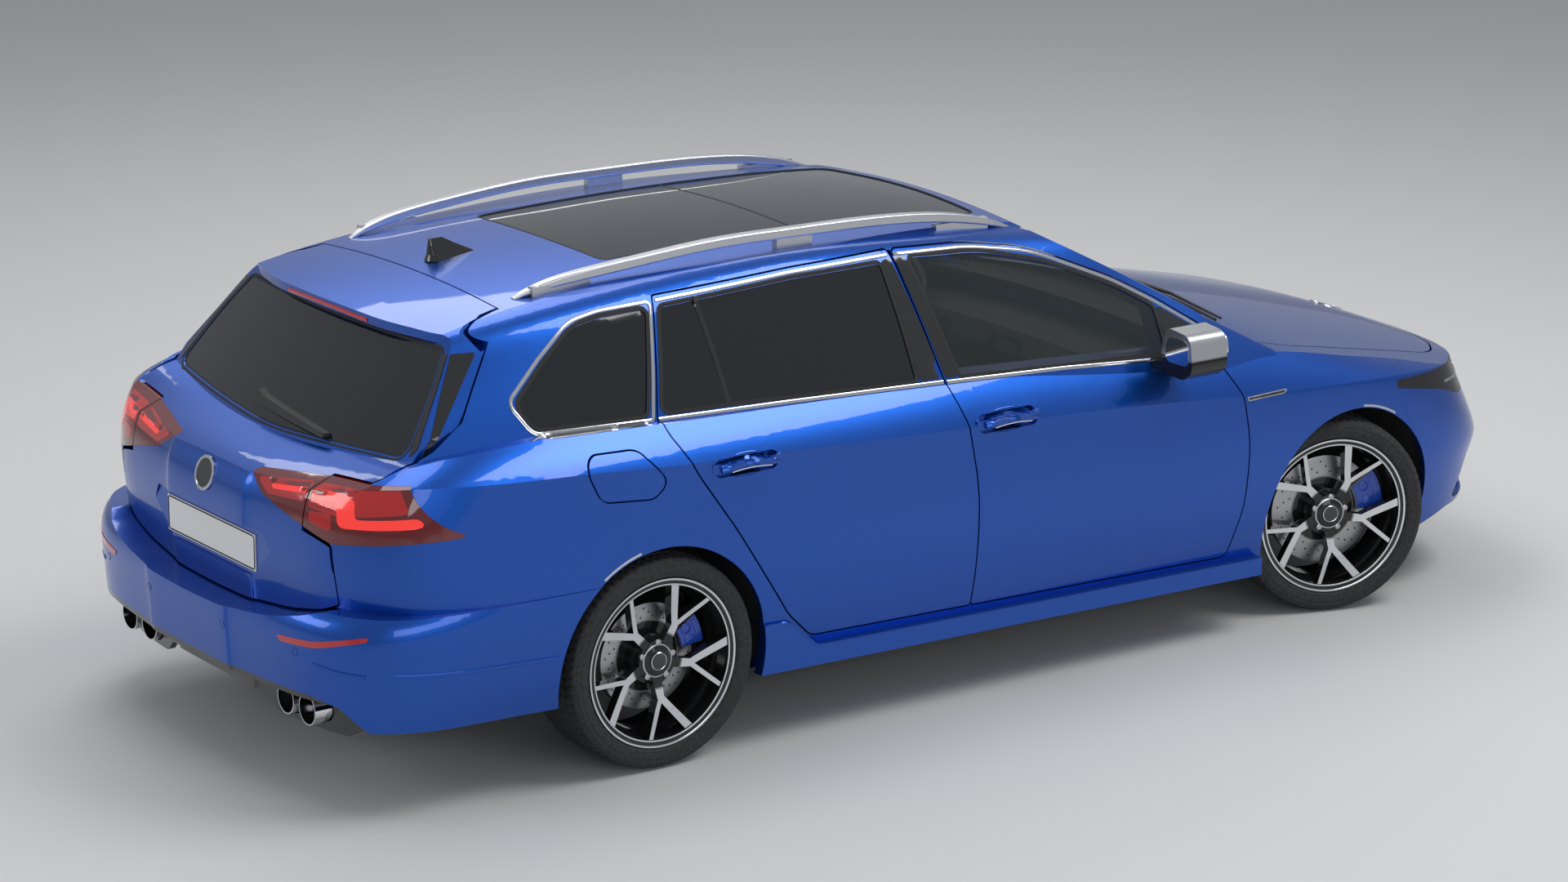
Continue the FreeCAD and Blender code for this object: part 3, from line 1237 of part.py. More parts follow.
def make_exhaust():
    silencer = prism([(-430, 222, 40), (430, 222, 40), (430, 352, 40), (-430, 352, 40)], "X",
                     px(-2030), px(-1800))
    pieces = []
    for y in TIP_Y:
        for side in (RIGHT, LEFT):
            outer = rod((px(TIP_X), side * y, TIP_Z), (px(-2060), side * y, TIP_Z), TAIL_PIPE_RADIUS)
            bore = rod((px(TIP_X) - 5, side * y, TIP_Z), (px(-2085), side * y, TIP_Z),
                       TAIL_PIPE_RADIUS - 3.5)
            stub = rod((px(-2070), side * y, TIP_Z), (px(-2000), side * min(y, 390), TIP_Z), 30)
            pieces.append(outer.cut(bore).fuse(stub))
    front = rod((px(ENGINE_X[0]) - REST_GAP, 0, 250), (px(-960), 0, 250), 29)
    over = rod((px(-960), 0, 250), (px(-1810), 0, 262), 29)
    pieces += [front, over]
    keep("exhaust", biggest(silencer.fuse(pieces), 1))


def make_engine():
    keep("engine_block", box((px(ENGINE_X[0]), px(ENGINE_X[1])), (-310, 310), (KNUCKLE_FOOT, 745)))


def make_skirts():
    """Body-coloured blade under the doors."""
    outline = ((-905, 222), (-905, 377), (-792, 374, 60), (-690, 281, 60), (1066, 244), (1066, 186))
    blade = prism(side_outline(outline), "Y", -py(884), -py(800))
    blade = blade.cut([BODY.low(0.0)] + arches(ARCH_RADIUS, 500, 500))
    blade = biggest(blade, 1)
    keep("side_skirts", blade, mirrored(blade))


def bumper_block(inset, low, high):
    """Upright block with the plan of the bumper at the diffuser's top edge."""
    plan = bumper_solid(inset).slice(Vector(0, 0, 1), pz(DIFFUSER_TOP))
    wire = max(plan, key=lambda w: w.BoundBox.DiagonalLength)
    wire.translate(Vector(0, 0, low - wire.BoundBox.ZMin))
    return Part.Face(wire).extrude(Vector(0, 0, high - low))


def make_diffuser():
    """Black lip along the bumper's lower edge and the panel under it, round the pipes."""
    region = end_prism(DIFFUSER, 0, TAIL_X - 50, px(-2050))
    top = pz(DIFFUSER_TOP)
    lip = bumper_block(LIP_INSET, top - LIP_HEIGHT, top)
    back = bumper_block(DIFFUSER_INSET + PANEL, 0, 600)
    low = bumper_block(DIFFUSER_INSET, 0, top - LIP_HEIGHT / 2).common(
        end_prism(DIFFUSER_PANEL, 0, TAIL_X - 50, px(-2050)))
    holes = [rod((TAIL_X - 50, side * y, TIP_Z), (px(-1900), side * y, TIP_Z), TAIL_PIPE_RADIUS + 4)
             for y in TIP_Y for side in (RIGHT, LEFT)]
    whole = lip.common(region).fuse(low).cut([back] + holes)
    keep("rear_diffuser", biggest(whole, 1))


STEERING_AT = (505.0, 370.0, 900.0)
STEERING_LEAN = 24.0
COLUMN_RADIUS = 24.0
COLUMN_LENGTH = 150.0
SHROUD_LENGTH = 60.0


def at_steering(shape):
    """Place a shape drawn round the column's axis, which points at the driver."""
    shape.rotate(Vector(0, 0, 0), Vector(0, 0, 1), 90)
    shape.rotate(Vector(0, 0, 0), Vector(0, 1, 0), STEERING_LEAN - 90)
    shape.translate(Vector(*STEERING_AT))
    return shape


def make_dashboard():
    wall = 1000 - SHEET - REST_GAP
    outline = ((wall, 600, 20), (wall, 895, 20), (860, 918, 60), (715, 888, 50), (650, 800, 50),
               (672, 690, 40), (760, 600, 60))
    panel = prism(side_outline(outline), "Y", -py(700), py(700))
    low = TUNNEL_TOP + REST_GAP
    console = prism([(px(-330), low), (px(-330), 560, 40), (px(40), 560, 40), (px(110), 470, 40),
                     (px(520), 480, 80), (px(700), 640), (px(900), 640), (px(900), low)], "Y",
                    -105, 105)
    shroud = Part.makeCylinder(COLUMN_RADIUS + 12, SHROUD_LENGTH,
                               Vector(0, 0, -COLUMN_LENGTH - REST_GAP - SHROUD_LENGTH))
    panel = panel.common(BODY.low(FRAME_DEPTH + SHUT_GAP + 1))
    keep("dashboard", panel.fuse([console, at_steering(shroud)]))


SEAT_Y = 370.0
SEAT_WIDTH = 468.0


def make_seats():
    cushion = ((-130, 300, 30), (400, 330, 60), (400, 450, 60), (-110, 420, 60))
    back = ((-120, 405, 30), (0, 430, 60), (-150, 1060, 60), (-260, 1060, 60), (-235, 700, 200))
    rest = ((-185, 1085, 20), (-200, 1240, 30), (-275, 1240, 30), (-270, 1085, 20))
    foot = FLOOR_Z + FLOOR_THICK + REST_GAP
    base = ((-110, foot), (340, foot), (340, 345), (-110, 310))
    seats = []
    for side in (RIGHT, LEFT):
        y = side * SEAT_Y
        half = SEAT_WIDTH / 2
        parts = [prism(cushion, "Y", y - half, y + half), prism(back, "Y", y - half, y + half),
                 prism(rest, "Y", y - 130, y + 130),
                 prism(base, "Y", y - half + 60, y + half - 60),
                 box((-240, -220), (y - 60, y - 46), (1040, 1100)),
                 box((-240, -220), (y + 46, y + 60), (1040, 1100))]
        seats.append(parts[0].fuse(parts[1:]))
    bench = prism(((-845, 250, 20), (-420, 290, 60), (-420, 470, 60), (-845, 430, 30)), "Y",
                  -640, 640)
    rests = [prism(((-925, 1062, 20), (-940, 1200, 30), (-1000, 1200, 30), (-1000, 1062, 20)), "Y",
                   y - 120, y + 120) for y in (-360, 0, 360)]
    stems = [box((-970, -955), (y - 8, y + 8), (1000, 1080)) for y in (-410, -310, -50, 50, 310, 410)]
    bench_back = prism(((-905, 330, 20), (-780, 330, 20), (-780, 440, 60), (-905, 1060, 50),
                        (-990, 1060, 50)), "Y", -560, 560)
    plinth = box((-900, -480), (-560, 560), (foot, 300)).cut(
        box((-1000, 0), (-TUNNEL_HALF - 1, TUNNEL_HALF + 1), (0, TUNNEL_TOP + 0.3)))
    bench = bench.fuse([bench_back, plinth] + rests + stems).cut(
        box((-1000, 0), (-TUNNEL_HALF - 1, TUNNEL_HALF + 1), (0, TUNNEL_TOP + 0.3)))
    keep("seats", seats[0], seats[1], bench)


def make_steering_wheel():
    ring = Part.makeTorus(STEERING_WHEEL_RADIUS - 15, 15)
    hub = Part.makeCylinder(58, 40, Vector(0, 0, -26))
    spokes = [box((-172, 172), (-16, 16), (-12, 4)), box((-16, 16), (-172, 0), (-12, 4))]
    column = Part.makeCylinder(COLUMN_RADIUS, COLUMN_LENGTH - 14, Vector(0, 0, -COLUMN_LENGTH))
    keep("steering_wheel", at_steering(ring.fuse([hub, column] + spokes)))


RAIL_STATIONS = (
    (-1478, 462, 1366, 8, 18), (-1400, 476, 1400, 22, 30), (-1250, 492, 1428, 30, 36),
    (-950, 506, 1454, 30, 38), (-600, 512, 1463, 30, 38), (-250, 515, 1457, 30, 38),
    (50, 516, 1432, 30, 36), (200, 516, 1398, 24, 30), (299, 515, 1358, 8, 18),
)


def make_rails():
    sections = []
    for x, y, top, high, wide in RAIL_STATIONS:
        sections.append(rounded_wire([(-py(y) - wide / 2, pz(top) - high, 6),
                                      (-py(y) + wide / 2, pz(top) - high, 6),
                                      (-py(y) + wide / 2, pz(top), 6),
                                      (-py(y) - wide / 2, pz(top), 6)], "X", px(x)))
    rail = Part.makeLoft(sections, True, False)
    roof = BODY.top(0.0).copy()
    roof.translate(Vector(0, 0, 0.3))
    feet = []
    for x, y, top, long in ((-1330, 484, 1412, 200), (-520, 512, 1450, 130), (110, 516, 1416, 200)):
        feet.append(box((px(x) - long / 2, px(x) + long / 2), (-py(y) - 12, -py(y) + 12),
                        (pz(1300), pz(top) - 16)))
    rail = rail.fuse(feet).cut(roof)
    rail = biggest(rail, 1)
    keep("roof_rails", rail, mirrored(rail))


def make_antenna():
    levels = ((1386, -1486, -1301, 34), (1404, -1480, -1330, 24), (1432, -1478, -1392, 11),
              (1452, -1476, -1430, 5))
    sections = []
    for z, back, front, half in levels:
        sections.append(rounded_wire([(px(back), -half, half * 0.8), (px(front), -half * 0.4, half * 0.3),
                                      (px(front), half * 0.4, half * 0.3),
                                      (px(back), half, half * 0.8)], "Z", pz(z)))
    fin = Part.makeLoft(sections, True, True)
    roof = BODY.top(0.0).copy()
    roof.translate(Vector(0, 0, 0.3))
    keep("roof_antenna", biggest(fin.cut(roof), 1))


def make_mirrors():
    shell = prism([(-1036, 950, 50), (-1020, 1060, 40), (-905, 1072, 30), (-885, 990, 50),
                   (-905, 922, 30), (-990, 918, 30)], "X", px(618), px(760))
    shell = shell.fuse(prism([(-1010, 965, 40), (-1000, 1040, 30), (-915, 1050, 30),
                              (-905, 940, 30)], "X", px(755), px(788)))
    foot = prism([(px(640), -920, 10), (px(640), -800), (px(740), -800), (px(740), -920, 10)],
                 "Z", 918, 948)
    mirror = shell.fuse(foot).cut(BODY.all(0.0))
    mirror = biggest(mirror, 1)
    for name, side in SIDES:
        keep("mirror_" + name, for_side(mirror, side))


PLATE = (520.0, 110.0, 4.0)
PLATE_RECESS_X = -2224.0
PLATE_RECESS = (
    (-310, 752, 20), (310, 752, 20), (400, 620, 40), (360, 606, 20), (-360, 606, 20), (-400, 620, 40),
)


def make_plate():
    recess = end_prism(PLATE_RECESS, 0, TAIL_X - 50, px(PLATE_RECESS_X))
    NODES["tailgate"] = biggest(NODES["tailgate"].cut(recess), 1)
    x = px(PLATE_RECESS_X)
    keep("number_plate", box((x - 0.3 - PLATE[2], x - 0.3), (-PLATE[0] / 2, PLATE[0] / 2),
                             (pz(677) - PLATE[1] / 2, pz(677) + PLATE[1] / 2)))


def make_wiper():
    slab = back_face(-15.0).extrude(Vector(600, 0, 0)).cut(back_face(GLASS_INSET - 0.3).extrude(
        Vector(900, 0, 0)))
    arm = [(-306, 999), (-306, 1010), (70, 1040, 10), (115, 1052, 12), (122, 1022, 12),
           (70, 1018, 10)]
    keep("rear_wiper", biggest(slab.common(end_prism(arm, 0, TAIL_X - 50, px(-1800))), 1))


def export_all():
    os.makedirs("parts", exist_ok=True)
    for name, shape in NODES.items():
        shape.exportStep("parts/%s.step" % name)


MAKERS = (
    make_side_frames, make_doors, make_fenders, make_bonnet, make_roof, make_tailgate,
    make_bumpers, make_floor, make_liners, make_front_suspension,
    make_rear_axle, make_wheels, make_exhaust, make_engine, make_skirts, make_diffuser,
    make_dashboard, make_seats, make_steering_wheel, make_rails, make_antenna, make_mirrors,
    make_plate, make_wiper,
)


if __name__ == "__main__":
    for make in MAKERS:
        make()
    for name, shape in NODES.items():
        print(name, len(shape.Solids), round(shape.Volume / 1e6, 2), shape.isValid())
    export_all()
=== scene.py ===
"""Looks of a station wagon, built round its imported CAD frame. Lengths in lists are millimetres."""
import json
import math

import bpy
from mathutils import Matrix, Vector
from mathutils.bvhtree import BVHTree
from mathutils.geometry import delaunay_2d_cdt


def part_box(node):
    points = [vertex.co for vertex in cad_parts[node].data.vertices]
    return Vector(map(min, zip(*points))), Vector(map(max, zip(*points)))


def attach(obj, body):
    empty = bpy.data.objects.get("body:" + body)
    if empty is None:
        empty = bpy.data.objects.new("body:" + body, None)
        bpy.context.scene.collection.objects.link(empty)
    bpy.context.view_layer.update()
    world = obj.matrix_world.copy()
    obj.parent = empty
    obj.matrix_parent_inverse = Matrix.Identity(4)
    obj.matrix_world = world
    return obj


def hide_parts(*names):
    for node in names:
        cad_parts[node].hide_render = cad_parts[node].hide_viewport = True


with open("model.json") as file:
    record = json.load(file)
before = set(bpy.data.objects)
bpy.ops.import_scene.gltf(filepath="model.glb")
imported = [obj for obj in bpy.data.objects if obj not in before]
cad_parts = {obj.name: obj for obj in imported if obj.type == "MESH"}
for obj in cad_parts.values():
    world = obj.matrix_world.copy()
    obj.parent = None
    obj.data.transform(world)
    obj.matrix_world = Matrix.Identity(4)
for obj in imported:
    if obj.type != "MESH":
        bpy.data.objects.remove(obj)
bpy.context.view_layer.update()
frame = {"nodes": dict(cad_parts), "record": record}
NODES = frame["nodes"]
MM = 0.001
RIGHT, LEFT = -1, 1
SIDES = (("right", RIGHT), ("left", LEFT))

# Driving sizes, as in the part's source
FRONT_AXLE_X = 1437.0
REAR_AXLE_X = -1232.0
TYRE_RADIUS = 323.0
TYRE_WIDTH = 235.0
RIM_RADIUS = 257.0
RIM_WIDTH = 218.0
WHEEL_FACE_Y = 871.0
KINGPIN_Y = 700.0
STEER_REST = -17.0


# Materials

def material(name, colour, roughness, metallic=0.0, **sockets):
    made = bpy.data.materials.new(name)
    made.use_nodes = True
    shader = made.node_tree.nodes["Principled BSDF"]
    shader.inputs["Base Color"].default_value = (*colour, 1)
    shader.inputs["Roughness"].default_value = roughness
    shader.inputs["Metallic"].default_value = metallic
    for words, value in sockets.items():
        socket = shader.inputs[words.replace("_", " ").title().replace("Ior", "IOR")]
        socket.default_value = (*value, 1) if isinstance(value, tuple) else value
    return made


def add_node(made, kind, **values):
    node = made.node_tree.nodes.new(kind)
    for words, value in values.items():
        node.inputs[words.replace("_", " ").title()].default_value = value
    return node


def link(made, source, out, target, into):
    made.node_tree.links.new(source.outputs[out], target.inputs[into])


def shader_of(made):
    return made.node_tree.nodes["Principled BSDF"]


def noise_of(made, scale):
    coords = made.node_tree.nodes.new("ShaderNodeTexCoord")
    noise = add_node(made, "ShaderNodeTexNoise", scale=scale, detail=3.0)
    link(made, coords, "Object", noise, "Vector")
    return noise


def grained(made, scale, strength, distance=0.0004):
    """Fine unevenness in the surface."""
    noise = noise_of(made, scale)
    bump = add_node(made, "ShaderNodeBump", strength=strength, distance=distance)
    link(made, noise, "Fac", bump, "Height")
    link(made, bump, "Normal", shader_of(made), "Normal")
    return made


def shaded(made, scale, first, second, low=0.4, high=0.6):
    """Colour that wanders between two near tones."""
    noise = noise_of(made, scale)
    ramp = made.node_tree.nodes.new("ShaderNodeValToRGB")
    ramp.color_ramp.elements[0].position = low
    ramp.color_ramp.elements[0].color = (*first, 1)
    ramp.color_ramp.elements[1].position = high
    ramp.color_ramp.elements[1].color = (*second, 1)
    link(made, noise, "Fac", ramp, "Fac")
    link(made, ramp, "Color", shader_of(made), "Base Color")
    return made


def rough_between(made, scale, low, high):
    """Gloss that wanders a little, as on a handled surface."""
    noise = noise_of(made, scale)
    spread = add_node(made, "ShaderNodeMapRange", to_min=low, to_max=high)
    link(made, noise, "Fac", spread, "Value")
    link(made, spread, "Result", shader_of(made), "Roughness")
    return made


def computed(made, kind, *sources, vector=False):
    """Result socket of a math node fed by sockets or constants."""
    node = made.node_tree.nodes.new("ShaderNodeVectorMath" if vector else "ShaderNodeMath")
    node.operation = kind
    for into, source in zip(node.inputs, sources):
        if isinstance(source, bpy.types.NodeSocket):
            made.node_tree.links.new(source, into)
        else:
            into.default_value = source
    number = not vector or kind in ("DOT_PRODUCT", "LENGTH")
    return node.outputs["Value" if number else "Vector"]


def share_between(made, source, low, high):
    """0 below low and 1 above high."""
    spread = add_node(made, "ShaderNodeMapRange", from_min=low, from_max=high)
    made.node_tree.links.new(source, spread.inputs["Value"])
    return spread.outputs["Result"]


def mixed(made, share, first, second):
    """Finish that is first where share is 1 and second where it is 0."""
    tree = made.node_tree
    shader = shader_of(made)
    colour = tree.nodes.new("ShaderNodeMix")
    colour.data_type = "RGBA"
    tree.links.new(share, colour.inputs["Factor"])
    colour.inputs["A"].default_value = (*second["colour"], 1)
    colour.inputs["B"].default_value = (*first["colour"], 1)
    tree.links.new([o for o in colour.outputs if o.type == "RGBA"][0], shader.inputs["Base Color"])
    for words in ("metallic", "roughness"):
        spread = add_node(made, "ShaderNodeMapRange", to_min=second[words], to_max=first[words])
        tree.links.new(share, spread.inputs["Value"])
        link(made, spread, "Result", shader, words.title())
    return made


def two_tone(name, first, second, level, soft=0.004, axis="Z"):
    """One finish beyond a level along an axis and another before it, in one shader."""
    made = material(name, first["colour"], first["roughness"], first["metallic"])
    coords = made.node_tree.nodes.new("ShaderNodeTexCoord")
    split = made.node_tree.nodes.new("ShaderNodeSeparateXYZ")
    link(made, coords, "Object", split, "Vector")
    share = share_between(made, split.outputs[axis], level - soft, level + soft)
    return mixed(made, share, first, second)


PAINT_BLUE = (0.0008, 0.060, 0.36)
PAINT_FLAKE = (0.002, 0.110, 0.60)
BLACK = (0.012, 0.012, 0.013)


def make_paint():
    made = material("paint", PAINT_BLUE, 0.34, 0.85, coat_weight=0.75, coat_roughness=0.03)
    return shaded(made, 2600, PAINT_BLUE, PAINT_FLAKE, 0.35, 0.75)


PAINT = make_paint()
# Darker blue for the sheet inside each door handle recess: painted shade.
SHADED_RECESS_BLUE = rough_between(material("recess_painted_shade", (0.001, 0.018, 0.10), 0.3, 0.6), 40, 0.26, 0.36)
SATIN = rough_between(material("satin_silver", (0.62, 0.63, 0.65), 0.3, 0.9), 60, 0.26, 0.34)
BRIGHT = rough_between(material("bright_trim", (0.72, 0.73, 0.75), 0.16, 1.0), 40, 0.12, 0.2)
CHROME = rough_between(material("chrome", (0.82, 0.82, 0.84), 0.07, 1.0), 30, 0.05, 0.1)
GLOSS_BLACK = rough_between(material("gloss_black", BLACK, 0.08, coat_weight=0.8), 25, 0.06, 0.12)
MATT_BLACK = grained(material("matt_black", (0.022, 0.022, 0.023), 0.62), 900, 0.35)
RUBBER = grained(material("rubber", (0.016, 0.016, 0.017), 0.78), 600, 0.3)
TYRE = grained(shaded(material("tyre", (0.022, 0.022, 0.023), 0.82), 90, (0.017, 0.017, 0.018),
                      (0.030, 0.030, 0.031)), 420, 0.4)
UNDERBODY = grained(shaded(material("underbody", (0.03, 0.03, 0.032), 0.7), 30,
                           (0.024, 0.024, 0.026), (0.042, 0.042, 0.044)), 260, 0.5, 0.001)
FELT = grained(material("liner_felt", (0.02, 0.02, 0.02), 0.95), 1400, 0.8)
DARK_GLASS = rough_between(material("dark_glass", (0.008, 0.010, 0.012), 0.03, alpha=0.93,
                                    coat_weight=0.5), 3, 0.02, 0.04)
CLEAR_GLASS = rough_between(material("clear_glass", (0.02, 0.032, 0.032), 0.03, alpha=0.34,
                                     ior=1.9), 3, 0.02, 0.04)
CAST = grained(material("cast_metal", (0.30, 0.30, 0.31), 0.55, 0.8), 300, 0.5, 0.0008)
STEEL = rough_between(material("steel", (0.52, 0.52, 0.53), 0.28, 1.0), 50, 0.2, 0.36)
DISC = grained(material("brake_disc", (0.42, 0.42, 0.43), 0.32, 1.0), 240, 0.15)
CALIPER_BLUE = rough_between(material("caliper_blue", (0.006, 0.055, 0.42), 0.3,
                                      coat_weight=0.6), 60, 0.25, 0.36)
CABIN = grained(material("cabin_plastic", (0.028, 0.028, 0.030), 0.66), 700, 0.5)
CLOTH = grained(shaded(material("seat_cloth", (0.03, 0.03, 0.034), 0.9, sheen_weight=0.3), 240,
                       (0.022, 0.022, 0.026), (0.045, 0.045, 0.050)), 800, 0.7)
LEATHER = grained(material("leather", (0.02, 0.02, 0.021), 0.45), 500, 0.5)
PLATE_WHITE = rough_between(material("plate_white", (0.80, 0.80, 0.79), 0.35), 40, 0.3, 0.42)
LENS_DARK = rough_between(material("lens_dark_red", (0.14, 0.004, 0.006), 0.05, coat_weight=1.0,
                                   coat_roughness=0.02), 20, 0.04, 0.08)
LENS_RED = rough_between(material("lens_red", (0.42, 0.006, 0.006), 0.12, coat_weight=1.0,
                                  emission_color=(0.9, 0.02, 0.015), emission_strength=0.06),
                         20, 0.1, 0.16)
LENS_GLOW = rough_between(material("lens_bright_red", (0.80, 0.03, 0.02), 0.15, coat_weight=1.0,
                                   emission_color=(1.0, 0.04, 0.03), emission_strength=0.45),
                          20, 0.1, 0.2)
LENS_CLEAR = rough_between(material("lens_clear", (0.55, 0.58, 0.60), 0.04, alpha=0.35,
                                    coat_weight=1.0), 20, 0.03, 0.06)
LAMP_DARK = rough_between(material("lamp_bowl", (0.03, 0.03, 0.034), 0.25, 0.4), 30, 0.2, 0.3)
SCREEN = rough_between(material("display", (0.01, 0.012, 0.016), 0.08), 20, 0.06, 0.1)

SLOT_LOOKS = {
    "body_paint": PAINT, "satin_silver": SATIN, "gloss_black": GLOSS_BLACK,
    "matt_black": MATT_BLACK, "underbody": UNDERBODY, "liner_felt": FELT,
    "dark_glass": DARK_GLASS, "clear_glass": CLEAR_GLASS, "lamp_red": LENS_DARK,
    "lamp_clear": LAMP_DARK, "rim_finish": GLOSS_BLACK, "tyre": TYRE, "cast_steel": CAST,
    "engine": CAST, "steel": CHROME, "cabin_plastic": CABIN, "seat_cloth": CLOTH,
    "wheel_leather": LEATHER, "plate_white": PLATE_WHITE,
}


def dress(node, look):
    slots = NODES[node].data.materials
    slots.clear()
    slots.append(look)


def dress_frame():
    for row in frame["record"]["subparts"]:
        dress(row["node"], SLOT_LOOKS[row["material_slot"]])


# Meshes

def linked(name, data):
    holder = bpy.data.objects.new(name, data)
    bpy.context.scene.collection.objects.link(holder)
    return holder


def build(name, points, faces, look, body, sharp=35.0):
    """Mesh in metres, smooth but for its sharp edges, that rides on a CAD body."""
    mesh = bpy.data.meshes.new(name)
    mesh.from_pydata([tuple(p) for p in points], [], faces)
    mesh.validate()
    mesh.polygons.foreach_set("use_smooth", [True] * len(mesh.polygons))
    mesh.set_sharp_from_angle(angle=math.radians(sharp))
    mesh.materials.append(look)
    piece = linked(name, mesh)
    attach(piece, body)
    return piece


ARC_STEP = 10.0


def rounded(corners, closed=True):
    """Line through corners in mm; a third number rounds that corner."""
    places = [Vector(c[:2]) for c in corners]
    count = len(corners)
    line = []
    for k, (at, corner) in enumerate(zip(places, corners)):
        if len(corner) < 3 or (not closed and k in (0, count - 1)):
            line.append(at)
            continue
        before = places[k - 1] - at
        after = places[(k + 1) % count] - at
        half = before.angle(after) / 2
        reach = min(corner[2] / math.tan(half), before.length * 0.48, after.length * 0.48)
        radius = reach * math.tan(half)
        start = at + before.normalized() * reach
        end = at + after.normalized() * reach
        centre = at + (before.normalized() + after.normalized()).normalized() * (
            radius / math.sin(half))
        turn = math.pi - 2 * half
        steps = max(2, math.ceil(radius * turn / ARC_STEP)) if turn > 0.02 else 1
        first = start - centre
        sign = 1 if first.x * (end - centre).y - first.y * (end - centre).x > 0 else -1
        for j in range(steps + 1):
            line.append(centre + Matrix.Rotation(sign * turn * j / steps, 2) @ first)
    return line


def spaced(line, step, closed):
    """The same line with points no further apart than step."""
    ends = list(line) + ([line[0]] if closed else [])
    out = []
    for a, b in zip(ends, ends[1:]):
        parts = max(1, math.ceil((b - a).length / step))
        out += [a.lerp(b, j / parts) for j in range(parts)]
    if not closed:
        out.append(ends[-1])
    return out


def normals_of(line, closed):
    out = []
    count = len(line)
    for k in range(count):
        a = line[k - 1] if closed or k else line[k]
        b = line[(k + 1) % count] if closed or k < count - 1 else line[k]
        along = (b - a).normalized()
        out.append(Vector((-along.y, along.x)))
    return out


def grown(line, amount):
    """Closed line through corners moved sideways, outwards for a positive amount."""
    line = rounded(line)
    area = sum(a.x * b.y - b.x * a.y for a, b in zip(line, line[1:] + line[:1]))
    sign = -1 if area > 0 else 1
    return [p + n * amount * sign for p, n in zip(line, normals_of(line, True))]


def inside(point, line):
    crossed = False
    for a, b in zip(line, line[1:] + line[:1]):
        if (a.y > point.y) != (b.y > point.y):
            if point.x < (b.x - a.x) * (point.y - a.y) / (b.y - a.y) + a.x:
                crossed = not crossed
    return crossed


# Each view: where it looks, and the two axes of its drawing plane
VIEWS = {
    "right": ((0, 1, 0), (0, 2)), "left": ((0, -1, 0), (0, 2)), "rear": ((1, 0, 0), (1, 2)),
    "front": ((-1, 0, 0), (1, 2)), "top": ((0, 0, -1), (0, 1)),
}
FAR = 4.0


class Skin:
    """The faces of some CAD nodes that show from one side, to lay pieces of a body on."""

    def __init__(self, view, *names, body="body"):
        self.body = body
        points, faces = [], []
        for name in names:
            start = len(points)
            mesh = (NODES[name] if isinstance(name, str) else name).data
            points += [v.co.copy() for v in mesh.vertices]
            faces += [[start + i for i in p.vertices] for p in mesh.polygons]
        self.tree = BVHTree.FromPolygons(points, faces)
        along, self.plane = VIEWS[view]
        self.along = Vector(along)
        self.depth = 0.0

    def at(self, a, b, lift=0.0):
        """Surface point in metres under the drawn place, and its outward normal."""
        drawn = Vector((0, 0, 0))
        drawn[self.plane[0]], drawn[self.plane[1]] = a, b
        start = drawn * MM - self.along * FAR
        hit, normal, _, distance = self.tree.ray_cast(start, self.along)
        if hit is None:
            hit = start + self.along * (self.depth or FAR)
            normal = -self.along
        else:
            self.depth = distance
            if normal.dot(self.along) > 0:
                normal = -normal
        return hit + normal * lift * MM, normal


def on_skin(skin, a, b, lift=0.0):
    """Place on a skin with its local Y into the surface."""
    at, normal = skin.at(a, b, lift)
    return Matrix.Translation(at) @ (-normal).to_track_quat("Y", "Z").to_matrix().to_4x4()


def upright(at):
    """Place whose local Y points down, for turned pieces that stand."""
    return Matrix.Translation(at) @ Matrix.Rotation(math.radians(90), 4, "X")


def rectangle(a, b, c, d, radius):
    return [(a, b, radius), (c, b, radius), (c, d, radius), (a, d, radius)]


def ring_faces(rings, size, joined=False, parted=False):
    """Faces between rings of points: joined ties the last ring to the first, parted leaves every
    ring open."""
    faces = []
    for k in range(rings if joined else rings - 1):
        a, b = k * size, (k + 1) % rings * size
        faces += [(a + j, a + (j + 1) % size, b + (j + 1) % size, b + j)
                  for j in range(size - 1 if parted else size)]
    return faces


def end_faces(rings, size):
    return [tuple(range(size))[::-1], tuple(range((rings - 1) * size, rings * size))]


def sheet_faces(faces, count):
    """A sheet's faces, those of its copy count points later, and walls along its border."""
    edges = dict.fromkeys((a, b) for f in faces for a, b in zip(f, f[1:] + f[:1]))
    walls = [(b, a, a + count, b + count) for a, b in edges if (b, a) not in edges]
    return faces + [tuple(i + count for i in reversed(f)) for f in faces] + walls


STRIP_STEP = 14.0
STRIP_SINK = 1.0


def strip(name, skin, line, width, height, look, closed=False):
    """Raised bead with a crowned top along a line of corners drawn over a skin."""
    line = spaced(rounded(line, closed), STRIP_STEP, closed)
    half = width / 2
    section = ((-half, -STRIP_SINK), (-half, height * 0.6), (-half * 0.55, height),
               (half * 0.55, height), (half, height * 0.6), (half, -STRIP_SINK))
    points = []
    for p, n in zip(line, normals_of(line, closed)):
        for across, lift in section:
            q = p + n * across
            points.append(skin.at(q.x, q.y, lift)[0])
    faces = ring_faces(len(line), len(section), closed)
    if not closed:
        faces += [f[::-1] for f in end_faces(len(line), len(section))]
    return build(name, points, faces, look, skin.body, 50)


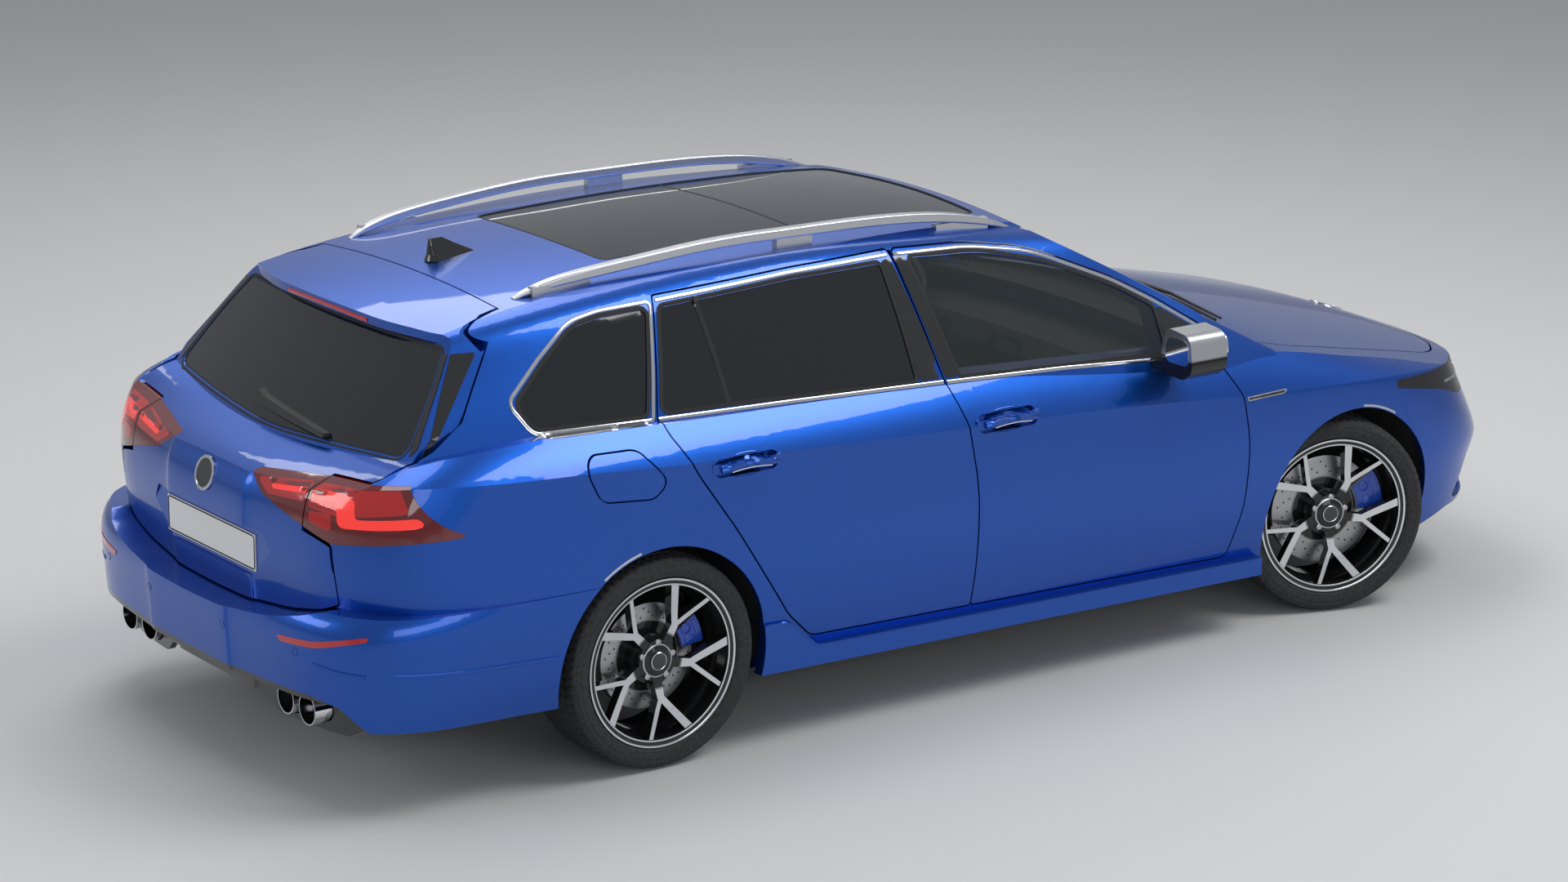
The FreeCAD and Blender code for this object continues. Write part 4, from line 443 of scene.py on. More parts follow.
def patch(name, skin, outline, height, look, sink=0.6, grid=22.0):
    """Thin plate that follows a skin inside a drawn outline of corners."""
    rim = spaced(rounded(outline), grid / 2, True)
    edges = [(k, (k + 1) % len(rim)) for k in range(len(rim))]
    low = Vector((min(p.x for p in rim), min(p.y for p in rim)))
    high = Vector((max(p.x for p in rim), max(p.y for p in rim)))
    inner = grown(rim, -grid * 0.3)
    flat = list(rim)
    for i in range(1, int((high.x - low.x) / grid) + 1):
        for j in range(1, int((high.y - low.y) / grid) + 1):
            p = low + Vector((i * grid, j * grid))
            if inside(p, inner):
                flat.append(p)
    co, _, tris, *_ = delaunay_2d_cdt(flat, edges, [], 0, 0.001)
    kept = [tuple(t) for t in tris
            if inside(sum((co[i] for i in t), Vector((0, 0))) / len(t), rim)]
    points = [skin.at(p.x, p.y, height)[0] for p in co]
    points += [skin.at(p.x, p.y, -sink)[0] for p in co]
    return build(name, points, sheet_faces(kept, len(co)), look, skin.body, 40)


def tube(name, path, radii, look, sides=12):
    """Round bar along points in metres, with a radius in mm at each."""
    points = []
    for k, p in enumerate(path):
        along = (path[min(k + 1, len(path) - 1)] - path[max(k - 1, 0)]).normalized()
        side = along.cross(Vector((0, 0, 1)))
        if side.length < 0.1:
            side = along.cross(Vector((1, 0, 0)))
        side.normalize()
        rise = side.cross(along)
        for j in range(sides):
            turn = 2 * math.pi * j / sides
            points.append(p + (side * math.cos(turn) + rise * math.sin(turn)) * radii[k] * MM)
    faces = ring_faces(len(path), sides) + end_faces(len(path), sides)
    return build(name, points, faces, look, "body", 50)


def rod_between(name, a, b, radius):
    return tube(name, [Vector(a) * MM, Vector(b) * MM], [radius, radius], STEEL)


def turned(place, radius, depth, turn):
    """Point at a radius and an angle round the local Y axis, in metres."""
    return place @ (Vector((radius * math.cos(turn), depth, radius * math.sin(turn))) * MM)


def lathe(name, profile, place, look, body, steps=64):
    """Profile of (radius, depth) in mm turned about the local Y axis, then placed."""
    points = [turned(place, radius, depth, 2 * math.pi * k / steps)
              for k in range(steps) for radius, depth in profile]
    return build(name, points, ring_faces(steps, len(profile), True, True), look, body, 30)


def block(name, low, high, look, bevel):
    """Box between two corners in mm with eased edges."""
    low, high = Vector(low) * MM, Vector(high) * MM
    corners = [Vector((x, y, z)) for x in (low.x, high.x) for y in (low.y, high.y)
               for z in (low.z, high.z)]
    faces = [(0, 1, 3, 2), (4, 6, 7, 5), (0, 4, 5, 1), (2, 3, 7, 6), (0, 2, 6, 4), (1, 5, 7, 3)]
    ease(build(name, corners, faces, look, "body", 30), bevel)


def ease(piece, width, segments=3):
    bevel = piece.modifiers.new("eased", "BEVEL")
    bevel.width = width * MM
    bevel.segments = segments
    bevel.limit_method = "ANGLE"
    bevel.angle_limit = math.radians(40)


SLAB_BEVEL = 1.4


def slab(name, outline, place, depth, look, body):
    """Flat plate of a drawn outline in mm, thick along local Z, then placed."""
    points = [place @ (Vector((p.x, p.y, z)) * MM) for z in (0, depth) for p in outline]
    faces = end_faces(2, len(outline)) + ring_faces(2, len(outline))
    ease(build(name, points, faces, look, body, 30), SLAB_BEVEL, 2)


# Wheels

def wheel_place(end, side):
    """Local wheel frame: Y from the outer face inwards, X forwards, Z up."""
    axle = FRONT_AXLE_X if end == "front" else REAR_AXLE_X
    place = Matrix.Translation(Vector((axle, side * WHEEL_FACE_Y, TYRE_RADIUS)) * MM)
    place = place @ Matrix.Diagonal((1, -side, 1, 1))
    if end == "front":
        kingpin = Matrix.Translation(Vector((FRONT_AXLE_X, side * KINGPIN_Y, 0)) * MM)
        steered = Matrix.Rotation(math.radians(STEER_REST), 4, "Z")
        place = kingpin @ steered @ kingpin.inverted() @ place
    return place


BULGE = (TYRE_WIDTH - RIM_WIDTH) / 2
TREAD_STEPS = 288
TREAD_PITCHES = 72
MAIN_GROOVES = (-62.0, -22.0, 22.0, 62.0)
GROOVE_WIDTH = 9.0
GROOVE_DEPTH = 7.0
SHOULDER_CUT = 4.5
RIB_CUT = 3.0
CUT_SHARE = 0.25


def tread_depth(across, turn):
    """How far the tread is cut at this place across and round the tyre."""
    for groove in MAIN_GROOVES:
        if abs(across - groove) < GROOVE_WIDTH / 2:
            return GROOVE_DEPTH
    lean = abs(across) * 0.006
    phase = (turn / (2 * math.pi) * TREAD_PITCHES + lean) % 1.0
    cut = SHOULDER_CUT if abs(across) > MAIN_GROOVES[-1] else RIB_CUT
    return cut * (phase < CUT_SHARE)


def tyre_profile():
    """Points of (radius, depth, across or None) from the outer bead over the tread."""
    middle = RIM_WIDTH / 2
    wall = [(RIM_RADIUS + 0.5, 4), (RIM_RADIUS + 5, -3), (RIM_RADIUS + 9, -6),
            (RIM_RADIUS + 11, -5.2), (RIM_RADIUS + 20, -BULGE + 0.5), (RIM_RADIUS + 30, -BULGE),
            (RIM_RADIUS + 31, -BULGE + 1), (RIM_RADIUS + 40, -BULGE + 1.5),
            (RIM_RADIUS + 42, -BULGE + 1), (RIM_RADIUS + 52, -BULGE + 5), (TYRE_RADIUS - 9, 0)]
    tread = []
    across = -middle + 6
    while across <= middle - 6 + 0.01:
        rise = TYRE_RADIUS - 5.0 * (abs(across) / (middle - 6)) ** 4 - 0.3
        tread.append((rise, middle + across, across))
        across += (2 * (middle - 6)) / 54
    first = [(r, d, None) for r, d in wall]
    last = [(r, RIM_WIDTH - d, None) for r, d in reversed(wall)]
    return first + tread + last


def make_tyre(end, name, side):
    place = wheel_place(end, side)
    profile = tyre_profile()
    points = []
    for k in range(TREAD_STEPS):
        turn = 2 * math.pi * k / TREAD_STEPS
        for radius, depth, across in profile:
            if across is not None:
                radius -= tread_depth(across, turn)
            points.append(turned(place, radius, depth, turn))
    faces = ring_faces(TREAD_STEPS, len(profile), True, True)
    node = f"tyre_{end}_{name}"
    piece = build(f"tread_{end}_{name}", points, faces, TYRE, f"{end}_wheel_{name}", 30)
    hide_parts(node)


RIM_ZONES = ((0.0, 0.0), (46.0, 1.0), (238.0, 0.0), (249.0, 1.0))
# The spokes' faces lie less deep than this behind the wheel's outer face, in metres
SPOKE_DEPTH = 0.0305
MACHINED = {"colour": (0.70, 0.71, 0.73), "roughness": 0.24, "metallic": 1.0}
RIM_BLACK = {"colour": BLACK, "roughness": 0.10, "metallic": 0.0}


def rim_look(end, side):
    """Machined silver on the faces of the spokes and on a thin ring, gloss black on all else."""
    name = "left" if side == LEFT else "right"
    made = material(f"rim_{end}_{name}", BLACK, 0.12)
    coords = made.node_tree.nodes.new("ShaderNodeTexCoord")
    at = coords.outputs["Object"]
    place = wheel_place(end, side)
    axis = place.to_3x3() @ Vector((0, -1, 0))
    centre = place.translation
    near = centre.dot(axis) - SPOKE_DEPTH
    facing = computed(made, "DOT_PRODUCT", coords.outputs["Normal"], axis, vector=True)
    outward = share_between(made, facing, 0.82, 0.88)
    depth = computed(made, "DOT_PRODUCT", at, axis, vector=True)
    on_face = computed(made, "MULTIPLY", outward, share_between(made, depth, near - 0.001, near))
    offset = computed(made, "SUBTRACT", at, centre, vector=True)
    across = computed(made, "CROSS_PRODUCT", offset, axis, vector=True)
    zones = made.node_tree.nodes.new("ShaderNodeValToRGB")
    zones.color_ramp.interpolation = "CONSTANT"
    for k, (reach, shade) in enumerate(RIM_ZONES):
        stops = zones.color_ramp.elements
        stop = stops[k] if k < 2 else stops.new(reach * MM)
        stop.position = reach * MM
        stop.color = (shade, shade, shade, 1)
    radius = computed(made, "LENGTH", across, vector=True)
    made.node_tree.links.new(radius, zones.inputs["Fac"])
    share = computed(made, "MULTIPLY", on_face, zones.outputs["Color"])
    return mixed(made, share, MACHINED, RIM_BLACK)


def polar(radius, degrees):
    turn = math.radians(degrees)
    return radius * math.cos(turn), radius * math.sin(turn)


def spot(place, radius, degrees):
    """Place of a small turned piece at a radius and an angle on a wheel's face."""
    x, z = polar(radius, degrees)
    return place @ Matrix.Translation(Vector((x, 0, z)) * MM)


DISC_INNER = 108.0
DISC_OUTERS = {"front": 177.0, "rear": 159.0}
DISC_OUTER_Y = 88.0
DISC_THICK = 28.0
HOLE_ROWS = (0.25, 0.5, 0.75)
HOLES_IN_ROW = 18
HOLE_CORNERS = 8
HOLE_RADIUS = 3.2
HUB_CAP = [(0, 19.5), (20, 20), (26, 21), (28.5, 23.5), (29, 30)]
HUB_RING = [(24.5, 20.8), (26, 20.2), (27.5, 21.6)]
BOLT_HEAD = [(0, 28), (6, 28), (9.8, 29.5), (10, 36)]
BOLT_RADIUS = 56.0
BOLTS = 5
FIRST_BOLT = 87.0
VALVE = [(0, 16), (3.4, 17), (3.6, 30), (4.4, 44)]
RIM_LIP = [(RIM_RADIUS - 8, 0.4), (RIM_RADIUS - 6, -0.6), (RIM_RADIUS - 2, -0.9),
           (RIM_RADIUS - 0.6, 1.0)]


def make_wheel(end, name, side):
    place = wheel_place(end, side)
    body = f"{end}_wheel_{name}"
    tag = f"{end}_{name}"
    dress("rim_" + tag, rim_look(end, side))
    lathe("hub_cap_" + tag, HUB_CAP, place, GLOSS_BLACK, body)
    lathe("hub_ring_" + tag, HUB_RING, place, BRIGHT, body)
    for k in range(BOLTS):
        at = spot(place, BOLT_RADIUS, FIRST_BOLT - 360 / BOLTS * k)
        lathe(f"wheel_bolt_{k}_{tag}", BOLT_HEAD, at, STEEL, body, 6)
    lathe("valve_" + tag, VALVE, spot(place, RIM_RADIUS - 27, 96), RUBBER, body, 12)
    lathe("rim_edge_" + tag, RIM_LIP, place, BRIGHT, body, 128)
    inner, outer, near = DISC_INNER, DISC_OUTERS[end], DISC_OUTER_Y
    face = [(inner, near - 0.5), (outer, near - 0.5), (outer + 1.4, near),
            (outer + 1.4, near + DISC_THICK), (inner, near + DISC_THICK + 0.5)]
    lathe("brake_disc_" + tag, face, place, DISC, body, 96)
    ring = [(inner - 2, near - 0.9), (inner + 2, near - 0.9)]
    lathe("disc_edge_" + tag, ring, place, CAST, body, 64)
    # Flat dark discs on the brake disc's face stand in for its drilled holes: painted shade in the
    # holes.
    points = []
    for row, share in enumerate(HOLE_ROWS):
        for k in range(HOLES_IN_ROW):
            x, z = polar(inner + (outer - inner) * share, 360 / HOLES_IN_ROW * k + 7 * row)
            for j in range(HOLE_CORNERS):
                u, v = polar(HOLE_RADIUS, 360 / HOLE_CORNERS * j)
                points.append(place @ (Vector((x + u, near - 0.8, z + v)) * MM))
    faces = [tuple(range(k, k + HOLE_CORNERS)) for k in range(0, len(points), HOLE_CORNERS)]
    build("disc_hole_shade_" + tag, points, faces, RUBBER, body)


SECTOR_STEPS = 18


def sector(low, high, first, last):
    """Ring part between two radii and two angles in degrees, as a closed line in mm."""
    turns = [first + (last - first) * k / SECTOR_STEPS for k in range(SECTOR_STEPS + 1)]
    return [Vector(polar(high, t)) for t in turns] + [Vector(polar(low, t)) for t in reversed(turns)]


# Each caliper: inner and outer radius in mm, middle angle and span in degrees
CALIPERS = {"front": (112.0, 204.0, 17.0, 40.0), "rear": (108.0, 186.0, 20.0, 30.0)}
CALIPER_FACE = 70.2
PISTON = [(0, 63.5), (14, 63.8), (17, 65.5), (18, 70.5)]


def make_caliper(end, name, side):
    """Painted face over the plain caliper, with a raised rib and its two piston domes."""
    low, high, middle, span = CALIPERS[end]
    place = wheel_place(end, side)
    body = "upright_" + name if end == "front" else "body"
    tag = f"{end}_{name}"
    face = place @ upright(Vector((0, CALIPER_FACE, 0)) * MM)
    for part, near, far, margin, thick in (("face", low + 3, high + 1, 1, 3.2),
                                           ("rib", (low + high) / 2 + 18, high - 6, 4, 5.2)):
        outline = sector(near, far, middle - span / 2 + margin, middle + span / 2 - margin)
        slab(f"caliper_{part}_{tag}", outline, face, thick, CALIPER_BLUE, body)
    for k, share in enumerate((-0.26, 0.26)):
        at = spot(place, (low + high) / 2 - 6, middle + span * share)
        lathe(f"caliper_piston_{k}_{tag}", PISTON, at, CALIPER_BLUE, body, 28)


def make_wheels():
    for end in ("front", "rear"):
        for name, side in SIDES:
            make_tyre(end, name, side)
            make_wheel(end, name, side)
            make_caliper(end, name, side)


# Outside trim

FRONT_WINDOW = (
    (-92, 1000, 12), (706, 958, 12), (716, 1086, 25), (586, 1163, 900), (322, 1268, 700),
    (100, 1323, 700), (-172, 1340, 14),
)
REAR_WINDOW = (
    (-1160, 1046, 14), (-946, 1041, 900), (-258, 1008, 12), (-282, 1338, 14),
    (-607, 1337, 1500), (-1082, 1316, 20),
)
QUARTER_WINDOW = (
    (-1216, 1046, 18), (-1128, 1318, 14), (-1287, 1312, 300), (-1380, 1297, 160),
    (-1500, 1215, 500), (-1622, 1118, 30), (-1580, 1056, 30),
)
TRIM_WIDTH = 10.0
TRIM_HEIGHT = 2.6
GASKET_WIDTH = 13.0
GASKET_HEIGHT = 1.4
FRONT_TOP_TRIM = ((-222, 1357), (68, 1343, 900), (300, 1300, 700), (586, 1180, 900), (726, 1101, 900),
                  (866, 1010))
FRONT_BELT_TRIM = ((-148, 987), (300, 966, 2000), (703, 937, 900), (890, 917))
REAR_TOP_TRIM = ((-246, 1358), (-607, 1355, 1500), (-1088, 1336))
REAR_BELT_TRIM = ((-162, 989), (-746, 1013, 2000), (-1180, 1027))
QUARTER_TRIM = ((-1199, 1027, 10), (-1108, 1336, 10), (-1287, 1330, 300), (-1390, 1313, 160),
                (-1513, 1230, 500), (-1645, 1128, 30), (-1592, 1040, 40))
TIP_TRIM = ((893, 1000), (985, 925, 8), (906, 918))
FRONT_TRIANGLE = ((720, 956, 6), (884, 930, 6), (852, 1008, 10), (728, 1088, 8))
FRONT_APPLIQUE = ((-150, 998, 4), (-104, 998, 4), (-184, 1346, 4), (-224, 1350, 4))
REAR_APPLIQUE = ((-160, 1000, 4), (-246, 1002, 4), (-272, 1344, 4), (-240, 1350, 4))
DIVIDER = ((-932, 1040), (-960, 1336))
TRIM_LINES = (
    ("front", "front_top_trim", FRONT_TOP_TRIM, False),
    ("front", "front_belt_trim", FRONT_BELT_TRIM, False),
    ("rear", "rear_top_trim", REAR_TOP_TRIM, False),
    ("rear", "rear_belt_trim", REAR_BELT_TRIM, False),
    ("quarter", "quarter_trim", QUARTER_TRIM, True),
    ("quarter", "trim_tip", TIP_TRIM, False),
)
WINDOWS = (("front", FRONT_WINDOW), ("rear", REAR_WINDOW), ("quarter", QUARTER_WINDOW))
DARK_PLATES = (
    ("front", "front_triangle", FRONT_TRIANGLE, 1.2),
    ("front", "front_pillar_plate", FRONT_APPLIQUE, 1.6),
    ("rear", "rear_pillar_plate", REAR_APPLIQUE, 1.6),
)


def make_window_trim(side):
    skins = {end: Skin(side, f"door_{end}_{side}", body=f"{end}_door_{side}")
             for end in ("front", "rear")}
    skins["quarter"] = Skin(side, "side_frame_" + side, "fenders")
    for where, name, line, closed in TRIM_LINES:
        strip(f"{name}_{side}", skins[where], line, TRIM_WIDTH, TRIM_HEIGHT, BRIGHT, closed)
    for where, window in WINDOWS:
        strip(f"{where}_gasket_{side}", skins[where], grown(window, 5.5), GASKET_WIDTH,
              GASKET_HEIGHT, RUBBER, True)
    for where, name, outline, height in DARK_PLATES:
        patch(f"{name}_{side}", skins[where], outline, height, GLOSS_BLACK)
    pane = Skin(side, "glass_rear_" + side, body="rear_door_" + side)
    strip("pane_divider_" + side, pane, DIVIDER, 16, 2.5, GLOSS_BLACK)


def for_side(corners, sign):
    """Corners of an outline that is drawn for the left side."""
    return [(c[0] * sign, *c[1:]) for c in corners]


MIRROR_PANE = ((905, 964, 22), (1018, 964, 22), (1010, 1044, 26), (912, 1044, 26))
TURN_LAMP = ((940, 992), (1005, 994))
SILVER_FINISH = {"colour": (0.62, 0.63, 0.65), "roughness": 0.28, "metallic": 0.9}
BLACK_FINISH = {"colour": BLACK, "roughness": 0.1, "metallic": 0.0}
MIRROR_SPLIT = 0.985


def make_mirror(side, sign):
    node = "mirror_" + side
    dress(node, two_tone("mirror_finish_" + side, SILVER_FINISH, BLACK_FINISH, MIRROR_SPLIT))
    mirror, face = [Skin(view, node, body="front_door_" + side) for view in ("rear", "front")]
    patch("mirror_pane_" + side, mirror, for_side(MIRROR_PANE, sign), 0.8, CHROME)
    strip("turn_lamp_" + side, face, for_side(TURN_LAMP, sign), 9, 1.2, LENS_CLEAR)


HANDLES = {"front": (22.0, 862.0), "rear": (-948.0, 882.0)}
GRIP_LENGTH = 196
GRIP_PARTS = 14


def make_handles(side):
    for end, (x, z) in HANDLES.items():
        tag = f"{end}_{side}"
        skin = Skin(side, "door_" + tag, body=f"{end}_door_{side}")
        recess = [(x - 96, z, 30), (x - 40, z + 33, 90), (x + 40, z + 33, 90), (x + 96, z + 2, 30),
                  (x + 40, z - 34, 90), (x - 40, z - 34, 90)]
        strip("handle_lip_" + tag, skin, recess, 5, 1.6, PAINT, True)
        # A thin dark blue sheet inside the lip: painted shade where the handle recess lies.
        patch("handle_cup_shade_" + tag, skin, grown(recess, -3), 0.7, SHADED_RECESS_BLUE, 0.5, 12)
        grip = [Vector((x - 98 + GRIP_LENGTH * k / GRIP_PARTS,
                        z + 9 * math.sin(math.pi * k / GRIP_PARTS))) for k in range(GRIP_PARTS + 1)]
        strip("handle_grip_" + tag, skin, grip, 25, 15, PAINT)
        line = [Vector((p.x, p.y - 11)) for p in grip[2:-2]]
        strip("handle_insert_" + tag, skin, line, 5, 13, CHROME)


SKIRT_LINE = ((-886, 374), (-790, 370, 60), (-688, 278, 60), (1050, 241))
CREASE_LINE = ((-1600, 411), (-1900, 425, 900), (-2110, 436))
FENDER_BADGE = ((978, 787, 5), (1158, 789, 20), (1130, 776, 8), (984, 773, 5))
# Each arch: its axle and the two angles in degrees between which the painted highlight on its lip
# lies
ARCHES = (("front", FRONT_AXLE_X, 60, 84), ("rear", REAR_AXLE_X, 104, 126))
ARCH_RADIUS = TYRE_RADIUS + 40


def make_side_details(side):
    body_side = Skin(side, "side_frame_" + side, "fenders")
    blade = Skin(side, "side_skirts")
    strip("skirt_line_" + side, blade, SKIRT_LINE, 7, 2.2, PAINT)
    patch("fender_badge_base_" + side, body_side, FENDER_BADGE, 2.0, BRIGHT)
    patch("fender_badge_inlay_" + side, body_side, grown(FENDER_BADGE, -3.5), 2.6, GLOSS_BLACK)
    arches = Skin(side, "side_frame_" + side, "fenders", "front_bumper", "rear_bumper")
    for name, centre_x, first, last in ARCHES:
        turns = [polar(ARCH_RADIUS, first + (last - first) * k / 8) for k in range(9)]
        line = [Vector((centre_x + u, TYRE_RADIUS + v)) for u, v in turns]
        # A satin silver bead over the top of each arch lip: a painted highlight.
        strip(f"arch_lip_highlight_{name}_{side}", arches, line, 7, 1.0, SATIN)


# Tail

GATE_LAMP_RED = ((262, 908, 5), (498, 935, 400), (498, 884, 8), (330, 872, 20))
GATE_LAMP_BAR = ((330, 900, 4), (494, 922, 300), (494, 906, 4), (352, 890, 8))
SIDE_LAMP_RED = ((518, 936, 8), (700, 948, 200), (770, 955, 10), (800, 890, 10), (640, 868, 30),
                 (518, 876, 10))
SIDE_LAMP_HOOK = ((524, 924, 6), (640, 932, 60), (676, 915, 12), (690, 868, 12), (812, 878, 10),
                  (826, 850, 10), (640, 838, 30), (630, 884, 12), (524, 892, 6))
SIDE_LAMP_LOW = ((530, 866, 6), (612, 872, 10), (622, 822, 12), (530, 836, 10))
LAMPS = (
    ("gate_lamp_red", GATE_LAMP_RED, 0.6, LENS_RED), ("gate_lamp_bar", GATE_LAMP_BAR, 1.1, LENS_GLOW),
    ("side_lamp_red", SIDE_LAMP_RED, 0.6, LENS_RED),
    ("side_lamp_hook", SIDE_LAMP_HOOK, 1.1, LENS_GLOW),
    ("side_lamp_low", SIDE_LAMP_LOW, 0.8, LENS_RED),
)
LAMP_LINES = 5


def make_tail_lamp(side, sign):
    fixed = Skin("rear", "tail_lamps")
    moving = Skin("rear", "gate_lamps", body="gate")
    for name, outline, height, look in LAMPS:
        skin = moving if name.startswith("gate") else fixed
        patch(f"{name}_{side}", skin, for_side(outline, sign), height, look, 0.4, 14)
    for k in range(LAMP_LINES):
        z = 900 - 5 * k
        strip(f"lamp_line_{k}_{side}", fixed, for_side(((524, z), (622, z + 2)), sign), 1.6, 1.2,
              LENS_DARK)


REFLECTOR = ((482, 506, 3), (640, 518, 300), (786, 552, 4), (782, 538, 4), (640, 498, 300),
             (500, 490, 6))
BUMPER_LINE = ((625, 448), (700, 437, 100), (775, 432))
BADGE_AT = (0.0, 859.0)
BADGE_RADIUS = 52.0
SENSORS = (-560.0, -220.0, 220.0, 560.0)
SENSOR_Z = 470.0
GATE_FRAME = ((557, 1266, 4), (578, 1266, 4), (622, 1180, 900), (684, 1036, 8), (668, 1010, 4),
              (608, 1180, 900))
GATE_BLADE = ((-1690, 1266, 4), (-1764, 1266, 4), (-1933, 1010, 2), (-1922, 1010, 2))
BACK_WINDOW = (
    (-658, 1008, 30), (-600, 1180, 900), (-548, 1272, 25), (548, 1272, 25), (600, 1180, 900),
    (658, 1008, 30), (0, 976, 3000),
)
THIRD_LAMP = ((-226, 1300), (0, 1307, 4000), (226, 1300))


def make_tail():
    gate = Skin("rear", "tailgate", body="gate")
    bumper = Skin("rear", "rear_bumper")
    for side, sign in SIDES:
        make_tail_lamp(side, sign)
        # The bumper reflectors take the red lens with its faint glow: painted light on a part that is
        # no lamp.
        patch("reflector_" + side, bumper, for_side(REFLECTOR, sign), 2.0, LENS_RED, 0.6, 12)
    place = on_skin(gate, *BADGE_AT)
    disc = [(0, -3.0), (BADGE_RADIUS - 9, -3.0), (BADGE_RADIUS - 8, -4.4), (BADGE_RADIUS - 2, -4.4),
            (BADGE_RADIUS, -2.5), (BADGE_RADIUS, 2)]
    lathe("blank_badge", disc, place, BRIGHT, "gate")
    lathe("blank_badge_face", [(0, -3.4), (BADGE_RADIUS - 9.5, -3.4)], place, GLOSS_BLACK, "gate")
    for k, y in enumerate(SENSORS):
        place = on_skin(bumper, y, SENSOR_Z)
        lathe(f"park_sensor_{k}", [(0, -1.0), (9, -1.0), (10.5, 0.3)], place, PAINT, "body", 24)
        lathe(f"park_sensor_ring_{k}", [(10.5, 0.2), (11.5, -0.6), (12.5, 0.4)], place, RUBBER,
              "body", 24)
    pane = Skin("rear", "tailgate_glass", "tailgate", body="gate")
    strip("third_brake_lamp", pane, THIRD_LAMP, 12, 3.0, LENS_RED)
    strip("back_gasket", pane, grown(BACK_WINDOW, 3.0), 12, 1.4, RUBBER, True)
    for side, sign in SIDES:
        patch("glass_frame_" + side, gate, for_side(GATE_FRAME, sign), 1.6, GLOSS_BLACK, 0.6, 12)
        patch("glass_blade_" + side, Skin(side, "tailgate", body="gate"), GATE_BLADE, 2.0,
              GLOSS_BLACK, 0.6, 12)
        strip("bumper_ridge_" + side, bumper, for_side(BUMPER_LINE, sign), 13, 3.2, PAINT)
        flank = Skin(side, "rear_bumper")
        strip("flank_ridge_" + side, flank, CREASE_LINE, 13, 3.2, PAINT)
    plate = Skin("rear", "number_plate", body="gate")
    low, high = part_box("number_plate")
    rim = rectangle(low.y / MM + 4, low.z / MM + 5, high.y / MM - 4, high.z / MM - 5, 8)
    strip("plate_rim", plate, rim, 4, 1.4, RUBBER, True)


# Roof, nose and cowl

ROOF_SPLIT = ((-400, -372), (-400, 372))
ROOF_GLASS = ((-1104, 0, 5000), (-1092, 352, 30), (262, 398, 40), (292, 0, 5000),
              (262, -398, 40), (-1092, -352, 30))


def make_roof():
    roof = Skin("top", "roof_panel", "dark_glass")
    strip("roof_glass_split", roof, ROOF_SPLIT, 9, 1.0, RUBBER)
    strip("roof_glass_seal", roof, grown(ROOF_GLASS, 3.0), 8, 0.9, RUBBER, True)


# The windscreen's solid ends at this line; its foot goes on down to the cowl
SCREEN_END_X = 900.0
SCREEN_END_Z = 1102.0
SCREEN_RUN = 1.883
SCREEN_BOW = 128.0
BOW_AT = 745.0
FOOT_HALF_TOP = 664.0
FOOT_HALF_LOW = 703.0
SCREEN_OVERLAP = 3.0
SHEET_ROWS = 8
SHEET_COLUMNS = 40
COWL_Z = 957.0
COWL_BOW = 36.0
COWL_BOW_AT = 600.0
PILLAR_FOOT_STEPS = 10
PILLAR_FOOT_X = 897.0
PILLAR_FOOT_LENGTH = 265.0
PILLAR_FOOT_LOW = 880.0
PILLAR_EDGE_Y = 732.0


def bowed(y):
    return SCREEN_BOW * (y / BOW_AT) ** 2


def screen_height(x, y):
    """Height of the windscreen's outer face in mm."""
    return SCREEN_END_Z - (x - SCREEN_END_X + bowed(y)) / SCREEN_RUN


def screen_low(y):
    """Where the windscreen meets the cowl."""
    cowl = COWL_Z - COWL_BOW * (y / COWL_BOW_AT) ** 2
    return SCREEN_END_X + (SCREEN_END_Z - cowl) * SCREEN_RUN - bowed(y)


def screen_sheet(name, first, last, lift, thick, look):
    """Curved sheet on the windscreen's face, between two shares of its foot."""
    outward = Vector((1, 0, SCREEN_RUN)).normalized()
    start = SCREEN_END_X - SCREEN_OVERLAP
    points = []
    for depth in (lift, lift - thick):
        for i in range(SHEET_ROWS + 1):
            share = first + (last - first) * i / SHEET_ROWS
            half = FOOT_HALF_TOP + (FOOT_HALF_LOW - FOOT_HALF_TOP) * share
            for j in range(SHEET_COLUMNS + 1):
                y = half * (2 * j / SHEET_COLUMNS - 1)
                x = start + (screen_low(y) - start) * share
                points.append((Vector((x, y, screen_height(x, y))) + outward * depth) * MM)
    row = SHEET_COLUMNS + 1
    quads = [(a, a + row, a + row + 1, a + 1) for i in range(SHEET_ROWS)
             for a in range(i * row, i * row + SHEET_COLUMNS)]
    return build(name, points, sheet_faces(quads, (SHEET_ROWS + 1) * row), look, "body", 40)


def pillar_side(x, z):
    """How far out the pillar's outer face lies."""
    return PILLAR_EDGE_Y + 0.6 * (1060.0 - z) - 0.1 * (x - 880.0)


def make_pillar_foot(side, sign):
    """Foot of the windscreen pillar, from its cut end down to the fender."""
    points = []
    low = PILLAR_FOOT_LOW
    for k in range(PILLAR_FOOT_STEPS + 1):
        x = PILLAR_FOOT_X + PILLAR_FOOT_LENGTH * k / PILLAR_FOOT_STEPS
        inner = FOOT_HALF_TOP + 4 + (FOOT_HALF_LOW - FOOT_HALF_TOP) * k / PILLAR_FOOT_STEPS
        edge = screen_height(x, inner)
        crest = max(screen_height(x, PILLAR_EDGE_Y), low + 8)
        ring = ((inner, low), (inner, max(edge, low + 9)), (pillar_side(x, crest) - 9, crest + 1),
                (pillar_side(x, crest) - 2, crest - 3), (pillar_side(x, crest - 12), crest - 12),
                (pillar_side(x, low), low - 3))
        points += [Vector((x, sign * y, z)) * MM for y, z in ring]
    rings = PILLAR_FOOT_STEPS + 1
    faces = ring_faces(rings, len(ring)) + end_faces(rings, len(ring))
    if sign == LEFT:
        faces = [f[::-1] for f in faces]
    build("pillar_foot_" + side, points, faces, PAINT, "body", 30)


